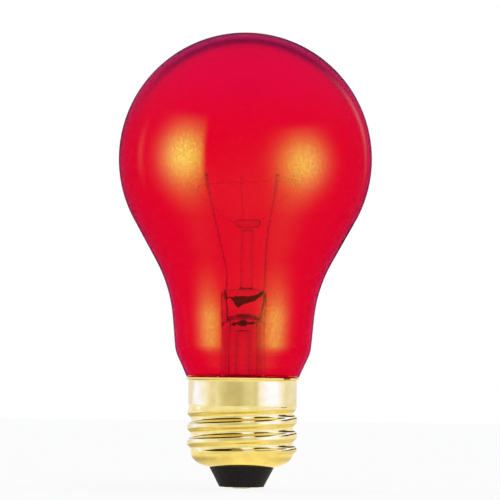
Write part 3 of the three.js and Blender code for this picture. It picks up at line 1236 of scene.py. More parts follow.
@dataclass
class ScrewCap(Assembly):
    """The brass shell with its rolled thread, the insulator, the centre contact and the solder."""

    crest_radius: float = 13.09
    thread_depth: float = 0.9
    collar_radius: float = 12.9
    thread_length: float = 11.7
    thread_pitch: float = 25.4 / 7
    thread_run: float = 2.2
    foot_run: float = 1.0
    crest_rise: float = 6.3
    crest_lean: float = 0.12
    crest_width: float = 0.12
    flank_fullness: float = 0.42
    foot_depth: float = 3.1
    mouth_radius: float = 7.8
    sheet: float = 0.3
    lip_reach: float = 0.79
    lip_height: float = 0.75
    face_radius: float = 5.25
    shank_radius: float = 10.2
    hole_radius: float = 2.0
    disc_radius: float = 4.3
    barrel_radius: float = 1.7
    barrel_bore: float = 0.95
    barrel_length: float = 3.3
    contact_drop: float = 0.1
    solder_radius: float = 2.3
    bead: Place = (1.75, 0.75, 0.95)
    cement_outer: float = 12.52
    cement_inner: float = 11.0

    @property
    def thread_foot(self) -> float:
        """Height at which the thread starts."""
        return self.levels.mouth + self.foot_depth

    @property
    def thread_top(self) -> float:
        """Height at which the thread ends."""
        return self.thread_foot + self.thread_length

    def outline(self) -> Outline:
        """The shell's outside without its thread, from the mouth up to the lip.

        Returns:
            Its points.
        """
        root = self.crest_radius - self.thread_depth
        foot = bend(
            (self.mouth_radius, self.levels.mouth),
            (root - 0.65, self.levels.mouth + 0.8),
            (root, self.thread_foot),
            18,
        )
        rows = 110
        wall = []
        for i in range(1, rows):
            height = self.thread_foot + self.thread_length * i / rows
            share = ease(self.thread_foot, self.thread_top, height)
            wall.append((root + (self.collar_radius - root) * share, height))
        rim = self.levels.rim
        lip = bend(
            (self.collar_radius, rim - self.lip_height),
            (self.collar_radius, rim - self.sheet - 0.05),
            (self.collar_radius + self.lip_reach, rim - self.sheet),
            8,
        )
        collar = straight((self.collar_radius, self.thread_top), lip[0], 6)
        return [*foot, *wall, *collar[:-1], *lip]

    def rolled(self, corner: Vector) -> Vector:
        """A corner of the shell moved to the rolled thread.

        The thread's crests and roots are rounder than a plain wave's, and the crests lean down a little.

        Args:
            corner: The corner on the plain shell.

        Returns:
            Its place on the thread.
        """
        foot, top = self.thread_foot, self.thread_top
        if not foot < corner.z < top:
            return corner
        angle = math.atan2(corner.y, corner.x)
        share = ease(foot, foot + self.foot_run, corner.z) * (1 - ease(top - self.thread_run, top, corner.z))
        turn = 2 * math.pi * ((corner.z - foot - self.crest_rise) / self.thread_pitch) - (angle - math.pi)
        turn += self.crest_lean * math.sin(turn)
        wave = math.cos(turn) * (1 + self.flank_fullness * math.sin(turn) ** 2)
        wave += self.crest_width * (1 - math.cos(2 * turn))
        root = self.crest_radius - self.thread_depth
        plain = root + (self.collar_radius - root) * ease(foot, top, corner.z)
        middle = self.crest_radius - self.thread_depth / 2
        move = share * (middle - plain + self.thread_depth / 2 * wave)
        return corner + Vector((math.cos(angle), math.sin(angle), 0)) * move

    def build_shell(self) -> None:
        """Makes the brass shell."""
        outside = self.outline()
        inside = beside(outside, -self.sheet)
        skin = [*outside, *reversed(inside)]
        shell = lathe("cap_shell", skin, 192, wrap=True, shape=self.rolled, crease=50)
        self.place(shell, "screw_shell", BRASS)

    def build_insulator(self) -> None:
        """Makes the black insulator."""
        face, mouth, foot = self.levels.face, self.levels.mouth, self.face_radius
        side, pocket = self.mouth_radius - 0.12, self.disc_radius + 0.1
        outline = [
            (self.hole_radius, face + 0.5),
            (pocket, face + 0.5),
            (pocket, face + 0.06),
            (self.disc_radius + 0.2, face),
            (foot - 0.12, face),
            *bend((foot - 0.12, face), (foot, face), (foot + 0.06, face + 0.12), 4),
            *straight((foot, face), (side, mouth), 12)[1:-1],
            (side, mouth + 0.02),
            (side, mouth + 0.5),
            (self.shank_radius, mouth + 1.3),
            (self.shank_radius, mouth + 1.6),
            (self.hole_radius, mouth + 1.2),
        ]
        body = lathe("cap_insulator", outline, 96, wrap=True, shape=lumpy(0.02, 2.2, 3.0), crease=30)
        self.place(body, "base_insulator", BLACK_GLASS)

    def build_contact(self) -> None:
        """Makes the centre contact and its solder."""
        low, disc, bore = self.levels.face - self.contact_drop, self.disc_radius, self.barrel_bore
        outline = [
            (bore, low),
            *bend((disc - 0.25, low), (disc, low), (disc, low + 0.2), 5),
            (disc, low + 0.35),
            (self.barrel_radius, low + 0.35),
            (self.barrel_radius, low + self.barrel_length),
            (bore, low + self.barrel_length),
        ]
        # The contact disc gets brass painted dark as painted shade.
        self.place(lathe("contact_disc", outline, 72, wrap=True), "contact_eyelet", CONTACT_BRASS_PAINTED_SHADE)
        dome = [
            (0.0, 0.0),
            (0.5, 0.0),
            (0.95, 0.0),
            *bend((1.15, 0.01), (2.0, 0.04), (self.solder_radius, low - 0.02), 8),
            (0.9, low + 0.01),
            (0.9, low + 0.9),
            (0.0, low + 0.9),
        ]

        def poured(corner: Vector) -> Vector:
            """The corner, moved sideways only, so that the contact's flat stays flat."""
            moved = lumpy(0.12, 1.1, 7.0)(corner)
            return Vector((moved.x, moved.y, corner.z)) if corner.xy.length > 1 else corner

        self.place(lathe("contact_solder", dome, 48, shape=poured), "centre_solder", SOLDER)

    def build_side_solder(self) -> None:
        """Makes the bead that joins the side lead to the lip, at the back."""
        centre = Vector((0, self.collar_radius + 0.35, self.levels.rim - 0.95))
        rough, steps = lumpy(0.18, 0.9, 21.0), 16
        rings: list[Ring] = []
        for i in range(steps + 1):
            polar = math.pi * i / steps
            ring = []
            for turn in angles(32 if 0 < i < steps else 1):
                sine = math.sin(polar)
                way = (-math.cos(polar), sine * math.cos(turn), sine * math.sin(turn))
                ring.append(rough(centre + Vector([w * reach for w, reach in zip(way, self.bead)])))
            rings.append(ring)
        self.place(loft("lip_solder", rings, crease=80), "side_solder", SOLDER)

    def build_cement(self) -> None:
        """Makes the cement between the neck and the collar."""
        low, high = self.thread_top + 0.3, self.thread_top + 3.2
        outer, inner = self.cement_outer, self.cement_inner
        outline = [
            (inner, low),
            (inner + 0.8, low - 0.1),
            (outer - 0.02, low),
            *straight((outer, low), (outer, high), 6)[1:-1],
            (outer - 0.02, high),
            (outer - 0.52, high + 0.1),
            (inner + 0.35, high),
        ]
        ring = lathe("cap_cement", outline, 120, wrap=True, shape=lumpy(0.07, 0.8, 11.0), crease=60)
        self.place(ring, "base_cement", CEMENT)

    def build(self) -> None:
        """Makes the whole cap."""
        self.build_shell()
        self.build_insulator()
        self.build_contact()
        self.build_side_solder()
        self.build_cement()


# ---------------------------------------------------------------- stem


@dataclass
class Stem(Assembly):
    """The clear glass inside: the flared tube with its press, the exhaust tube, the rod and its button."""

    tube_radius: float = 5.15
    flare_radius: float = 5.6
    bell_height: float = 9.4
    rim_radius: float = 10.7
    tube_wall: float = 0.95
    press_length: float = 12.9
    press_flat: float = 4.9
    press_width: float = 10.8
    press_thickness: float = 4.2
    press_squareness: float = 1.2
    roof_depth: float = 6.0
    roof_rise: float = 2.4
    top_round: float = 1.6
    lean: Point = (0.55, 0.70)
    exhaust_radius: float = 2.1
    exhaust_wall: float = 0.55
    exhaust_drop: float = 10.6
    rod_radius: float = 1.55
    button_radius: float = 3.2
    button_thickness: float = 2.1
    button_drop: float = 10.8

    @property
    def button_height(self) -> float:
        """Height of the middle of the button."""
        return self.levels.filament - self.button_drop

    def pinch(self, height: float) -> tuple[float, float, float]:
        """How far the tube is flattened at a height.

        Args:
            height: Where to read it.

        Returns:
            The growth across, the growth in depth, and how square the section is.
        """
        press = self.levels.press
        share = ease(press - self.press_length, press - self.press_flat, height)
        wide = 1 + (self.press_width / (2 * self.tube_radius) - 1) * share
        thick = 1 + (self.press_thickness / (2 * self.tube_radius) - 1) * share
        return wide, thick, 2 + self.press_squareness * share

    def section(self, radius: float, height: float) -> Ring:
        """One ring of the tube.

        Args:
            radius: Radius before the pinch.
            height: The ring's height.

        Returns:
            The ring.
        """
        wide, thick, square = self.pinch(height)
        ring = []
        for turn in angles(72):
            c, s = math.cos(turn), math.sin(turn)
            reach = (abs(c) ** square + abs(s) ** square) ** (-1 / square)
            place = Vector((radius * wide * c * reach, radius * thick * s * reach, height))
            ring.append(place + noise.noise_vector(place / 6) * 0.12 * ease(30, 40, height))
        return ring

    def build_tube(self) -> None:
        """Makes the flared tube, hollow up to the press."""
        seal = self.levels.seal
        rim, press = seal - 0.3, self.levels.press - 0.25
        roof = press - self.roof_depth
        bell_top = (self.flare_radius, seal + self.bell_height)
        bell = bend((self.rim_radius, rim), (self.flare_radius + 0.78, seal), bell_top, 24)
        wall = [*bell, *straight(bell_top, (self.tube_radius, roof - self.roof_rise), 24)[1:]]
        bore = [(max(r - self.tube_wall, 0.2), h) for r, h in wall]
        bore[0] = (self.rim_radius - 0.9, rim - 0.2)
        reach, eaves = bore[-1]
        dome = [
            (reach * math.cos(a), eaves + self.roof_rise * math.sin(a))
            for a in (0.25, 0.5, 0.75, 1.0, 1.25, 1.45)
        ]
        shoulder = press - self.top_round
        crown = [
            (self.tube_radius - self.top_round * (1 - math.cos(a)), shoulder + self.top_round * math.sin(a))
            for a in (0.3, 0.6, 0.9, 1.2, 1.45)
        ]
        outline = [*reversed(dome), *reversed(bore), (self.rim_radius - 0.45, rim - 0.3), *wall]
        outline += [*straight((self.tube_radius, roof), (self.tube_radius, shoulder), 12), *crown]
        rings = [self.section(radius, height) for radius, height in outline]
        tube = loft("stem_flare", [[Vector((0, 0, roof))], *rings, [Vector((0, 0, press))]], crease=60)
        self.place(tube, "stem_tube", CLEAR_GLASS)

    def build_shade_pocket(self, name: str, across: list[Place], depth: Point) -> None:
        """Makes an air pocket shut in the press, dark from every side with painted shade.

        Args:
            name: The piece's name.
            across: Distance from the axis, height and half height at places from left to right.
            depth: Distance of its middle in front of the axis, and its half thickness at its tallest place.
        """
        rough = lumpy(0.16, 0.55, 5.0)
        line = smooth_path(across, 0.12)
        (front, half), tallest = depth, max(here.z for here in line)
        rings: list[Ring] = []
        for x, y, tall in line:
            thick = half * tall / tallest
            ring = [Vector((x, -front + thick * math.cos(t), y + tall * math.sin(t))) for t in angles(24)]
            rings.append([rough(c) for c in ring])
        first, last = line[0], line[-1]
        rings.insert(0, [Vector((first.x - 0.05, -front, first.y))])
        rings.append([Vector((last.x + 0.05, -front, last.y))])
        self.place(loft(name, rings, crease=80), "stem_tube", POCKET_SHADE_GLASS)

    def build_shade_pockets(self) -> None:
        """Makes the pocket under the rod and the blow hole's eye, both dark with painted shade."""
        top = self.levels.press
        pocket = [
            (-3.9, top - 2.35, 0.22),
            (-3.1, top - 2.3, 0.16),
            (-2.5, top - 2.6, 0.45),
            (-1.6, top - 3.25, 1.35),
            (-0.9, top - 3.25, 1.30),
            (0.0, top - 2.95, 1.0),
            (1.2, top - 2.75, 0.80),
            (2.4, top - 2.45, 0.70),
            (3.3, top - 1.95, 0.55),
            (4.2, top - 1.3, 0.45),
            (4.7, top - 1.0, 0.15),
        ]
        self.build_shade_pocket("press_pocket", pocket, (0.9, 0.6))
        eye = [
            (-2.9, top - 8.85, 0.08),
            (-2.3, top - 8.75, 0.55),
            (-1.75, top - 8.7, 0.32),
            (-1.3, top - 8.5, 0.40),
            (-0.5, top - 8.45, 0.95),
            (0.5, top - 8.45, 0.90),
            (1.1, top - 8.5, 0.32),
            (2.2, top - 8.5, 0.42),
            (3.1, top - 8.4, 0.08),
        ]
        self.build_shade_pocket("blow_hole", eye, (1.35, 0.35))

    def build_exhaust(self) -> None:
        """Makes the exhaust tube with its sealed tip."""
        tip, top, outer = self.levels.tip, self.levels.press - self.exhaust_drop, self.exhaust_radius
        bore = outer - self.exhaust_wall
        outline = [
            (0.0, tip),
            (0.5, tip + 0.1),
            (0.95, tip + 0.6),
            (1.35, tip + 1.5),
            (1.8, tip + 2.6),
            (outer, tip + 4.0),
            *straight((outer, tip + 4.0), (outer, top), 10)[1:],
            (outer - 0.15, top + 0.1),
            (bore, top + 0.1),
            *straight((bore, top), (bore, tip + 4.6), 10),
            (0.6, tip + 3.4),
            (0.0, tip + 2.6),
        ]
        tube = lathe("exhaust_glass", outline, 48, shape=lumpy(0.08, 5.0, 2.0))
        self.place(tube, "exhaust_tube", CLEAR_GLASS)

    def build_rod(self) -> None:
        """Makes the rod and its pressed button."""
        foot, middle, half = self.levels.press - 0.4, self.button_height, self.button_thickness / 2
        low, rod = middle - half, self.rod_radius
        outline = [
            (0.0, foot),
            (rod + 0.5, foot),
            *bend((rod + 0.5, foot), (rod, foot + 0.2), (rod, foot + 1.1), 5),
            *straight((rod, foot + 1.1), (rod, low - 0.6), 10)[1:],
            (rod + 0.15, low - 0.25),
            (rod + 0.6, low),
            *arc((self.button_radius - half, middle), half, -math.pi / 2.4, math.pi / 2, 14),
            (1.2, middle + half + 0.04),
            (0.0, middle + half + 0.05),
        ]
        rough = lumpy(0.16, 3.0, 4.0)

        def leaning(corner: Vector) -> Vector:
            """The corner, on a rod that stands a little to the right of the axis."""
            share = (corner.z - foot) / (middle - foot)
            return rough(corner) + Vector((self.lean[0] + (self.lean[1] - self.lean[0]) * share, 0, 0))

        piece = lathe("button_glass", outline, 64, shape=leaning, crease=60)
        self.place(piece, "button_rod", CLEAR_GLASS)

    def build(self) -> None:
        """Makes the stem."""
        self.build_tube()
        self.build_shade_pockets()
        self.build_exhaust()
        self.build_rod()


# ---------------------------------------------------------------- mount


@dataclass
class Mount(Assembly):
    """The wires above the press: two leads, three supports and the filament."""

    lead_radius: float = 0.24
    seal_radius: float = 0.2
    knot_growth: float = 0.22
    support_radius: float = 0.10
    coil_radius: float = 0.12
    coil_wire: float = 0.036
    coil_pitch: float = 0.2
    coil_steps: int = 8
    sag: float = 0.35
    hook_radius: float = 0.5
    hook_tail: float = 4.6
    loop_radius: float = 1.25
    loop_tail: float = 1.9
    short_tail: float = 0.35
    left_tip: float = -9.3
    right_tip: float = 7.7
    left_reach: float = 2.35
    right_reach: float = 4.7
    button_radius: float = Stem.button_radius
    button_drop: float = Stem.button_drop
    bow: float = 11.2
    side_bow: float = 3.2

    def loops(self) -> dict[str, tuple[Vector, Vector]]:
        """Where each support holds the filament, and the way the filament runs there.

        Returns:
            The loop's middle and axis by the support's name.
        """
        top = self.levels.filament
        left, right = self.left_tip - self.left_reach, self.right_tip + self.right_reach
        return {
            "left": (Vector((left, self.side_bow, top - 1.5)), Vector((0, 1, 0))),
            "back": (Vector((-0.8, self.bow, top)), Vector((1, 0, 0))),
            "right": (Vector((right, self.side_bow, top - 0.1)), Vector((0, -1, 0))),
        }

    def build_lead(self, name: str, node: str, stalk: Outline) -> None:
        """Makes an inner lead: a round wire, flattened where it folds back over the filament's leg.

        Args:
            name: The piece's name.
            node: Its CAD node.
            stalk: Distance from the axis and height of each point of the stalk, from the press up.
        """
        tip_x, top = stalk[-1][0], self.levels.filament + 0.3
        lean = (Vector((*stalk[-1], 0)) - Vector((*stalk[-2], 0))).normalized()
        path = [Vector((x, 0, z)) for x, z in stalk]
        for back, height in arc((-self.hook_radius, top), self.hook_radius, 0, math.pi, 6):
            path.append(Vector((tip_x, back, height)))
        for drop in (self.hook_tail * 0.3, self.hook_tail * 0.7, self.hook_tail):
            path.append(Vector((tip_x - lean.x * drop, -1.3 * self.hook_radius, top - drop * lean.y)))
        line = smooth_path(path, 0.28)
        widths = []
        for here in line:
            flat = ease(top - self.hook_tail - 1.0, top - self.hook_tail + 1.5, here.z)
            widths.append((self.lead_radius * (1 + 0.75 * flat), self.lead_radius * (1 - 0.35 * flat)))
        self.place(sweep(name, line, widths, 12, Vector((0, 1, 0.02))), node, NICKEL)

    def build_seal(self, name: str, node: str, foot: Point, head: Point) -> None:
        """Makes the seal wire in the press, with the weld knot at its top.

        Args:
            name: The piece's name.
            node: Its CAD node.
            foot: Distance from the axis and height of its lower end.
            head: The same for its upper end.
        """
        line = evenly([Vector((foot[0], 0, foot[1])), Vector((head[0], 0, head[1]))], 0.3)
        widths = []
        for here in line:
            knot = 1 - ease(0.2, 1.1, abs(here.z - head[1]))
            radius = self.seal_radius + self.knot_growth * knot
            widths.append((radius, radius))
        self.place(sweep(name, line, widths), node, SEAL_WIRE)

    def build_support(self, side: str) -> None:
        """Makes a support: out of the button's edge, up to the filament, once round it, and a tail.

        Args:
            side: The support's name.
        """
        centre, axis = self.loops()[side]
        button = self.levels.filament - self.button_drop
        away = Vector((centre.x, centre.y, 0)).normalized()
        foot = away * (0.5 * self.button_radius) + Vector((0, 0, button + 0.2))
        leave = away * (self.button_radius + 0.8) + Vector((0, 0, button + 0.9))
        onward = centre - leave
        onward = (onward - axis * onward.dot(axis)).normalized()
        across = axis.cross(onward)
        drift = 2 * self.support_radius + 0.2
        turn = []
        for i, (back, ahead) in enumerate(arc((0, 0), self.loop_radius, 0, 2 * math.pi, 24)):
            turn.append(centre - across * back + onward * ahead + axis * drift * (i / 24 - 0.5))
        tail = onward * self.loop_tail * (1.0 if side == "left" else self.short_tail)
        start = turn[0]
        path = [foot, leave, leave.lerp(start, 0.35), leave.lerp(start, 0.75), *turn, turn[-1] + tail]
        line = smooth_path(path, 0.2)
        piece = sweep(f"support_{side}", line, [(self.support_radius, self.support_radius)], 10)
        self.place(piece, f"support_wire_{side}", MOLYBDENUM)

    def leg(self, across: float) -> Vector:
        """A point of the filament on its way through a hook."""
        return Vector((across, -0.5 * self.hook_radius - 0.2, self.levels.filament))

    def filament_line(self) -> list[Vector]:
        """The middle line of the coil, from one lead's hook to the other's.

        Returns:
            Its points.
        """
        left, back, right = (centre for centre, _ in self.loops().values())
        knots = [
            self.leg(self.left_tip + 1.2),
            self.leg(self.left_tip),
            self.leg(self.left_tip - 0.7),
            left + Vector((0.5, -0.6, -0.75)),
            left + Vector((0.45, 0.6, -0.7)),
            left.lerp(back, 0.5) + Vector((-1.0, 1.4, -self.sag)),
            back + Vector((0, -0.3, -0.8)),
            right.lerp(back, 0.5) + Vector((1.0, 1.4, -self.sag)),
            right + Vector((-0.3, 0.6, -0.6)),
            right + Vector((-0.6, -0.8, -0.2)),
            self.leg(self.right_tip + 0.7),
            self.leg(self.right_tip),
            self.leg(self.right_tip - 1.2),
        ]
        return smooth_path(knots, self.coil_pitch / self.coil_steps)

    def build_filament(self) -> None:
        """Makes the coil."""
        line = self.filament_line()
        coil: list[Vector] = []
        carried = Vector((0, 0, 1))
        for i in range(1, len(line) - 1):
            along = (line[i + 1] - line[i - 1]).normalized()
            carried = (carried - along * carried.dot(along)).normalized()
            side = along.cross(carried)
            turn = 2 * math.pi * i / self.coil_steps
            coil.append(line[i] + (carried * math.cos(turn) + side * math.sin(turn)) * self.coil_radius)
        piece = sweep("filament_coil", coil, [(self.coil_wire, self.coil_wire)], 5)
        self.place(piece, "filament", TUNGSTEN)

    def build(self) -> None:
        """Makes the mount."""
        press, top = self.levels.press, self.levels.filament
        left = [
            (-4.1, press - 1.2),
            (-4.1, press + 1.2),
            (-4.1, press + 3.6),
            (-5.6, press + 10.5),
            (self.left_tip, top + 0.1),
        ]
        right = [
            (4.8, press - 1.2),
            (4.95, press + 2.0),
            (5.4, press + 11.5),
            (6.3, press + 18.0),
            (self.right_tip, top + 0.1),
        ]
        self.build_lead("lead_left", "inner_lead_left", left)
        self.build_lead("lead_right", "inner_lead_right", right)
        self.build_seal("seal_left", "seal_wire_left", (-3.3, press - 9.6), (-4.1, press - 1.7))
        self.build_seal("seal_right", "seal_wire_right", (3.3, press - 9.6), (4.8, press - 1.7))
        for side in self.loops():
            self.build_support(side)
        self.build_filament()


@dataclass
class OuterWires(Assembly):
    """The wires below the press, down the tube and into the cap."""

    wire_radius: float = 0.2
    fuse_radius: float = 0.12

    def wire(self, name: str, node: str, points: list[Place], radius: float, kind: MetalFinish) -> None:
        """Makes a round wire.

        Args:
            name: The piece's name.
            node: Its CAD node.
            points: Points that it passes through.
            radius: Its radius.
            kind: Its finish.
        """
        self.place(sweep(name, smooth_path(points, 0.35), [(radius, radius)], 10), node, kind)

    def build(self) -> None:
        """Makes the two outer leads and the fuse link."""
        press, seal, rim, tip = self.levels.press, self.levels.seal, self.levels.rim, self.levels.tip
        start = press - 9.7
        side = [
            (-3.3, 0, start),
            (-3.45, 0, start - 5),
            (-3.3, 0.1, seal + 8),
            (-3.1, 1.2, seal + 3),
            (-2.2, 4.8, seal - 2.0),
            (-0.6, 9.2, seal - 2.6),
            (0, 11.0, seal - 1.2),
            (0, 11.35, seal + 2.3),
            (0, 12.0, rim - 3.2),
            (0, 12.1, rim - 1.5),
            (0, 12.6, rim - 0.8),
            (0, 13.35, rim - 0.85),
        ]
        centre = [
            (3.3, 0, start),
            (3.4, 0, start - 5),
            (3.3, 0, seal + 6),
            (3.2, -0.3, seal + 2),
            (2.9, -0.6, seal - 1.4),
        ]
        fuse = [
            (2.9, -0.6, seal - 1.5),
            (2.7, -0.5, tip + 2.5),
            (1.6, -0.4, tip - 0.9),
            (0.3, -0.1, tip - 3.2),
            (0, 0, 2.0),
        ]
        self.wire("outer_wire_side", "outer_lead_side", side, self.wire_radius, COPPER)
        self.wire("outer_wire_centre", "outer_lead_centre", centre, self.wire_radius, COPPER)
        self.wire("fuse_wire", "fuse_link", fuse, self.fuse_radius, FUSE)


# ---------------------------------------------------------------- studio


@dataclass(frozen=True)
class Glow:
    """A soft light on the studio's wall, as the glass mirrors it.

    azimuth is its bearing from the camera's side, positive to the right, and elevation its height, both in
    degrees. across and up say how far it spreads. inner is the bearing of a sharp inner edge, and top the
    elevation of a sharp upper one, each with the width over which it fades.
    """

    azimuth: float
    elevation: float
    level: float
    across: float
    up: float
    inner: tuple[float, float] | None = None
    top: tuple[float, float] | None = None


@dataclass(frozen=True)
class Band:
    """Light that metal mirrors on one side of a slope, from where it starts to where it is full."""

    light: Colour
    start: float
    full: float


@dataclass
class Studio:
    """A pale room with soft lights, and the camera that looks at the lamp.

    The camera's sizes are in metres and degrees, and its film in millimetres. glows are what the glass
    mirrors, on a round wall of lights_reach about lights_height. ceiling is the brightness that comes
    through the glass, by elevation.

    The metal mirrors a room of its own, by the place across it and by the slope that it faces. wall is the
    light on upright metal, and under the light on metal that faces down past under_slopes, with ramp_white
    as the scale of both. leaning and lowered are bands over the wall, and window is one that shows only
    where shade is past window_share. shade is the slope above which the metal mirrors the dark, dark_edge
    the sharpness of that change, and dark the light there, with the slopes over which it fades out again.
    """

    frame_width: float = 0.11885
    shift_right: float = 0.00136
    eye_level: float = 0.0567
    distance: float = 1.5
    elevation: float = -1.4
    roll: float = 0.70
    film: float = 36.0
    floor_reach: float = 6.0
    floor_colour: Colour = (0.22, 0.212, 0.145)
    floor_glow: float = 0.83
    lights_reach: float = 0.35
    lights_height: float = 0.078
    glows: tuple[Glow, ...] = (
        Glow(-55, 1, 14.3, 13.0, 12.5, inner=(-37, 7), top=(33, 10)),
        Glow(-57, -26, 0.9, 12, 12),
        Glow(52, -4, 10.8, 13.0, 12.0, top=(25, 9)),
        Glow(50, -32, 0.8, 13, 12),
        Glow(8, -34, 0.20, 34, 24),
        Glow(139, 16, 0.45, 3, 10),
        Glow(-107, 4, 0.45, 3, 8),
    )
    ceiling: tuple[Point, ...] = ((-90, 0.5), (-50, 0.8), (-30, 1.0), (30, 1.0), (50, 0.6), (75, 0.2))
    ramp_white: float = 3.0
    leaning: Band = Band((1.0, 1.03, 1.2), 0.03, 0.09)
    lowered: Band = Band((1.02, 0.95, 0.70), -0.12, -0.40)
    window: Band = Band((1.12, 1.30, 3.0), 0.08, 0.20)
    window_share: Point = (0.92, 0.99)
    dark: Band = Band((0.075, 0.046, 0.015), 0.72, 0.66)
    dark_edge: float = 24.0
    under_slopes: Point = (-0.35, -0.62)
    under: tuple[tuple[float, Colour], ...] = (
        (-1.0, (0.52, 0.43, 0.30)),
        (-0.60, (0.62, 0.54, 0.38)),
        (-0.35, (0.90, 0.80, 0.55)),
        (0.0, (1.12, 1.0, 0.64)),
        (0.40, (1.06, 0.94, 0.58)),
        (0.65, (0.82, 0.72, 0.48)),
        (0.85, (0.72, 0.62, 0.44)),
        (1.0, (0.62, 0.52, 0.38)),
    )
    wall: tuple[tuple[float, Colour], ...] = (
        (-1.0, (0.85, 0.84, 0.9)),
        (-0.93, (0.93, 0.96, 1.5)),
        (-0.86, (1.08, 1.25, 3.3)),
        (-0.76, (1.08, 1.24, 3.0)),
        (-0.67, (1.02, 1.10, 1.9)),
        (-0.58, (0.93, 0.92, 1.2)),
        (-0.47, (0.95, 0.98, 1.3)),
        (-0.40, (0.80, 0.80, 0.88)),
        (-0.28, (0.70, 0.67, 0.65)),
        (-0.04, (0.66, 0.63, 0.62)),
        (0.05, (0.76, 0.80, 0.88)),
        (0.16, (0.87, 0.88, 1.0)),
        (0.25, (0.78, 0.77, 0.86)),
        (0.33, (1.04, 1.14, 2.2)),
        (0.45, (1.12, 1.32, 3.6)),
        (0.64, (1.1, 1.30, 3.5)),
        (0.72, (1.04, 1.13, 2.1)),
        (0.80, (0.93, 0.96, 1.45)),
        (0.93, (0.93, 0.96, 1.3)),
        (1.0, (0.85, 0.84, 0.9)),
    )
    shade: tuple[Point, ...] = (
        (-1.0, 0.90),
        (-0.90, 0.60),
        (-0.85, 0.50),
        (-0.81, 1.0),
        (-0.76, 1.0),
        (-0.72, 0.34),
        (-0.62, 0.30),
        (-0.50, 0.17),
        (-0.15, 0.17),
        (-0.04, 0.30),
        (0.01, 1.0),
        (0.14, 1.0),
        (0.19, 0.30),
        (0.26, 0.18),
        (0.34, 0.22),
        (0.44, 0.34),
        (0.49, 1.0),
        (0.61, 1.0),
        (0.66, 0.26),
        (0.71, 0.06),
        (0.82, 0.06),
        (0.86, 0.60),
        (1.0, 0.90),
    )

    def build_world(self) -> None:
        """Makes the room.

        The camera sees it white, and so does light that comes through glass, with a dimmer ceiling. All
        other light comes from the metal's room.
        """
        world = bpy.data.worlds.new("pale_room")
        bpy.context.scene.world = world
        world.use_nodes = True
        tree = world.node_tree
        tree.nodes.clear()
        way = _node(tree, "SeparateXYZ", Vector=_node(tree, "TexCoord").outputs["Generated"]).outputs
        rays = _node(tree, "LightPath").outputs
        through = _ramp(tree, _degrees(tree, "ARCSINE", way["Z"]), (-90, 90), self.ceiling)
        seen = _mix(tree, rays["Is Transmission Ray"], self._metal_room(tree, way), through)
        seen = _mix(tree, rays["Is Camera Ray"], seen, (1.0, 1.0, 1.0))
        _node(tree, "OutputWorld", Surface=_node(tree, "Background", Color=seen).outputs[0])

    def _mirror_room(self, tree: Tree, bearing: Socket, rise: Socket) -> Socket:
        """What the glass mirrors.

        Args:
            tree: The tree of the wall's material.
            bearing: Bearing of a place on the wall, in degrees.
            rise: Its elevation.

        Returns:
            The brightness.
        """
        total: Socket | float = 0.0
        for glow in self.glows:
            away = _bell(tree, bearing, glow.azimuth, glow.across)
            away = _maths(tree, "ADD", away, _bell(tree, rise, glow.elevation, glow.up))
            light = _maths(tree, "MULTIPLY", _maths(tree, "EXPONENT", away), glow.level)
            for angle, edge in ((bearing, glow.inner), (rise, glow.top)):
                if edge:
                    middle, fade = edge
                    kept = _step(tree, angle, middle + fade / 2, middle - fade / 2)
                    light = _maths(tree, "MULTIPLY", light, kept)
            total = _maths(tree, "ADD", light, total)
        return total

    def _metal_room(self, tree: Tree, way: bpy.types.NodeOutputs) -> Socket:
        """What the metal mirrors, and what lights everything else.

        Args:
            tree: The world's tree.
            way: The way looked at, as X, Y and Z.

        Returns:
            The light's colour.
        """
        depth = _maths(tree, "MULTIPLY", _maths(tree, "SUBTRACT", 1.0001, way["Y"]), 2.0)
        depth = _maths(tree, "SQRT", depth)
        across = _maths(tree, "DIVIDE", way["X"], depth)
        slope = _maths(tree, "DIVIDE", way["Z"], depth)
        steep = _maths(tree, "ABSOLUTE", slope)
        light = _colour_ramp(tree, across, (-1, 1), self.wall, self.ramp_white)
        for angle, band in ((steep, self.leaning), (slope, self.lowered)):
            light = _mix(tree, _step(tree, angle, band.start, band.full), light, band.light)
        under = _colour_ramp(tree, across, (-1, 1), self.under, self.ramp_white)
        light = _mix(tree, _step(tree, slope, *self.under_slopes), light, under)
        lowest = _ramp(tree, across, (-1, 1), self.shade)
        window = _step(tree, slope, self.window.start, self.window.full)
        window = _maths(tree, "MULTIPLY", _step(tree, lowest, *self.window_share), window)
        light = _mix(tree, window, light, self.window.light)
        dark = _maths(tree, "MULTIPLY", _maths(tree, "SUBTRACT", slope, lowest), self.dark_edge, clamp=True)
        dark = _maths(tree, "MULTIPLY", dark, _step(tree, slope, self.dark.start, self.dark.full))
        return _mix(tree, dark, light, self.dark.light)

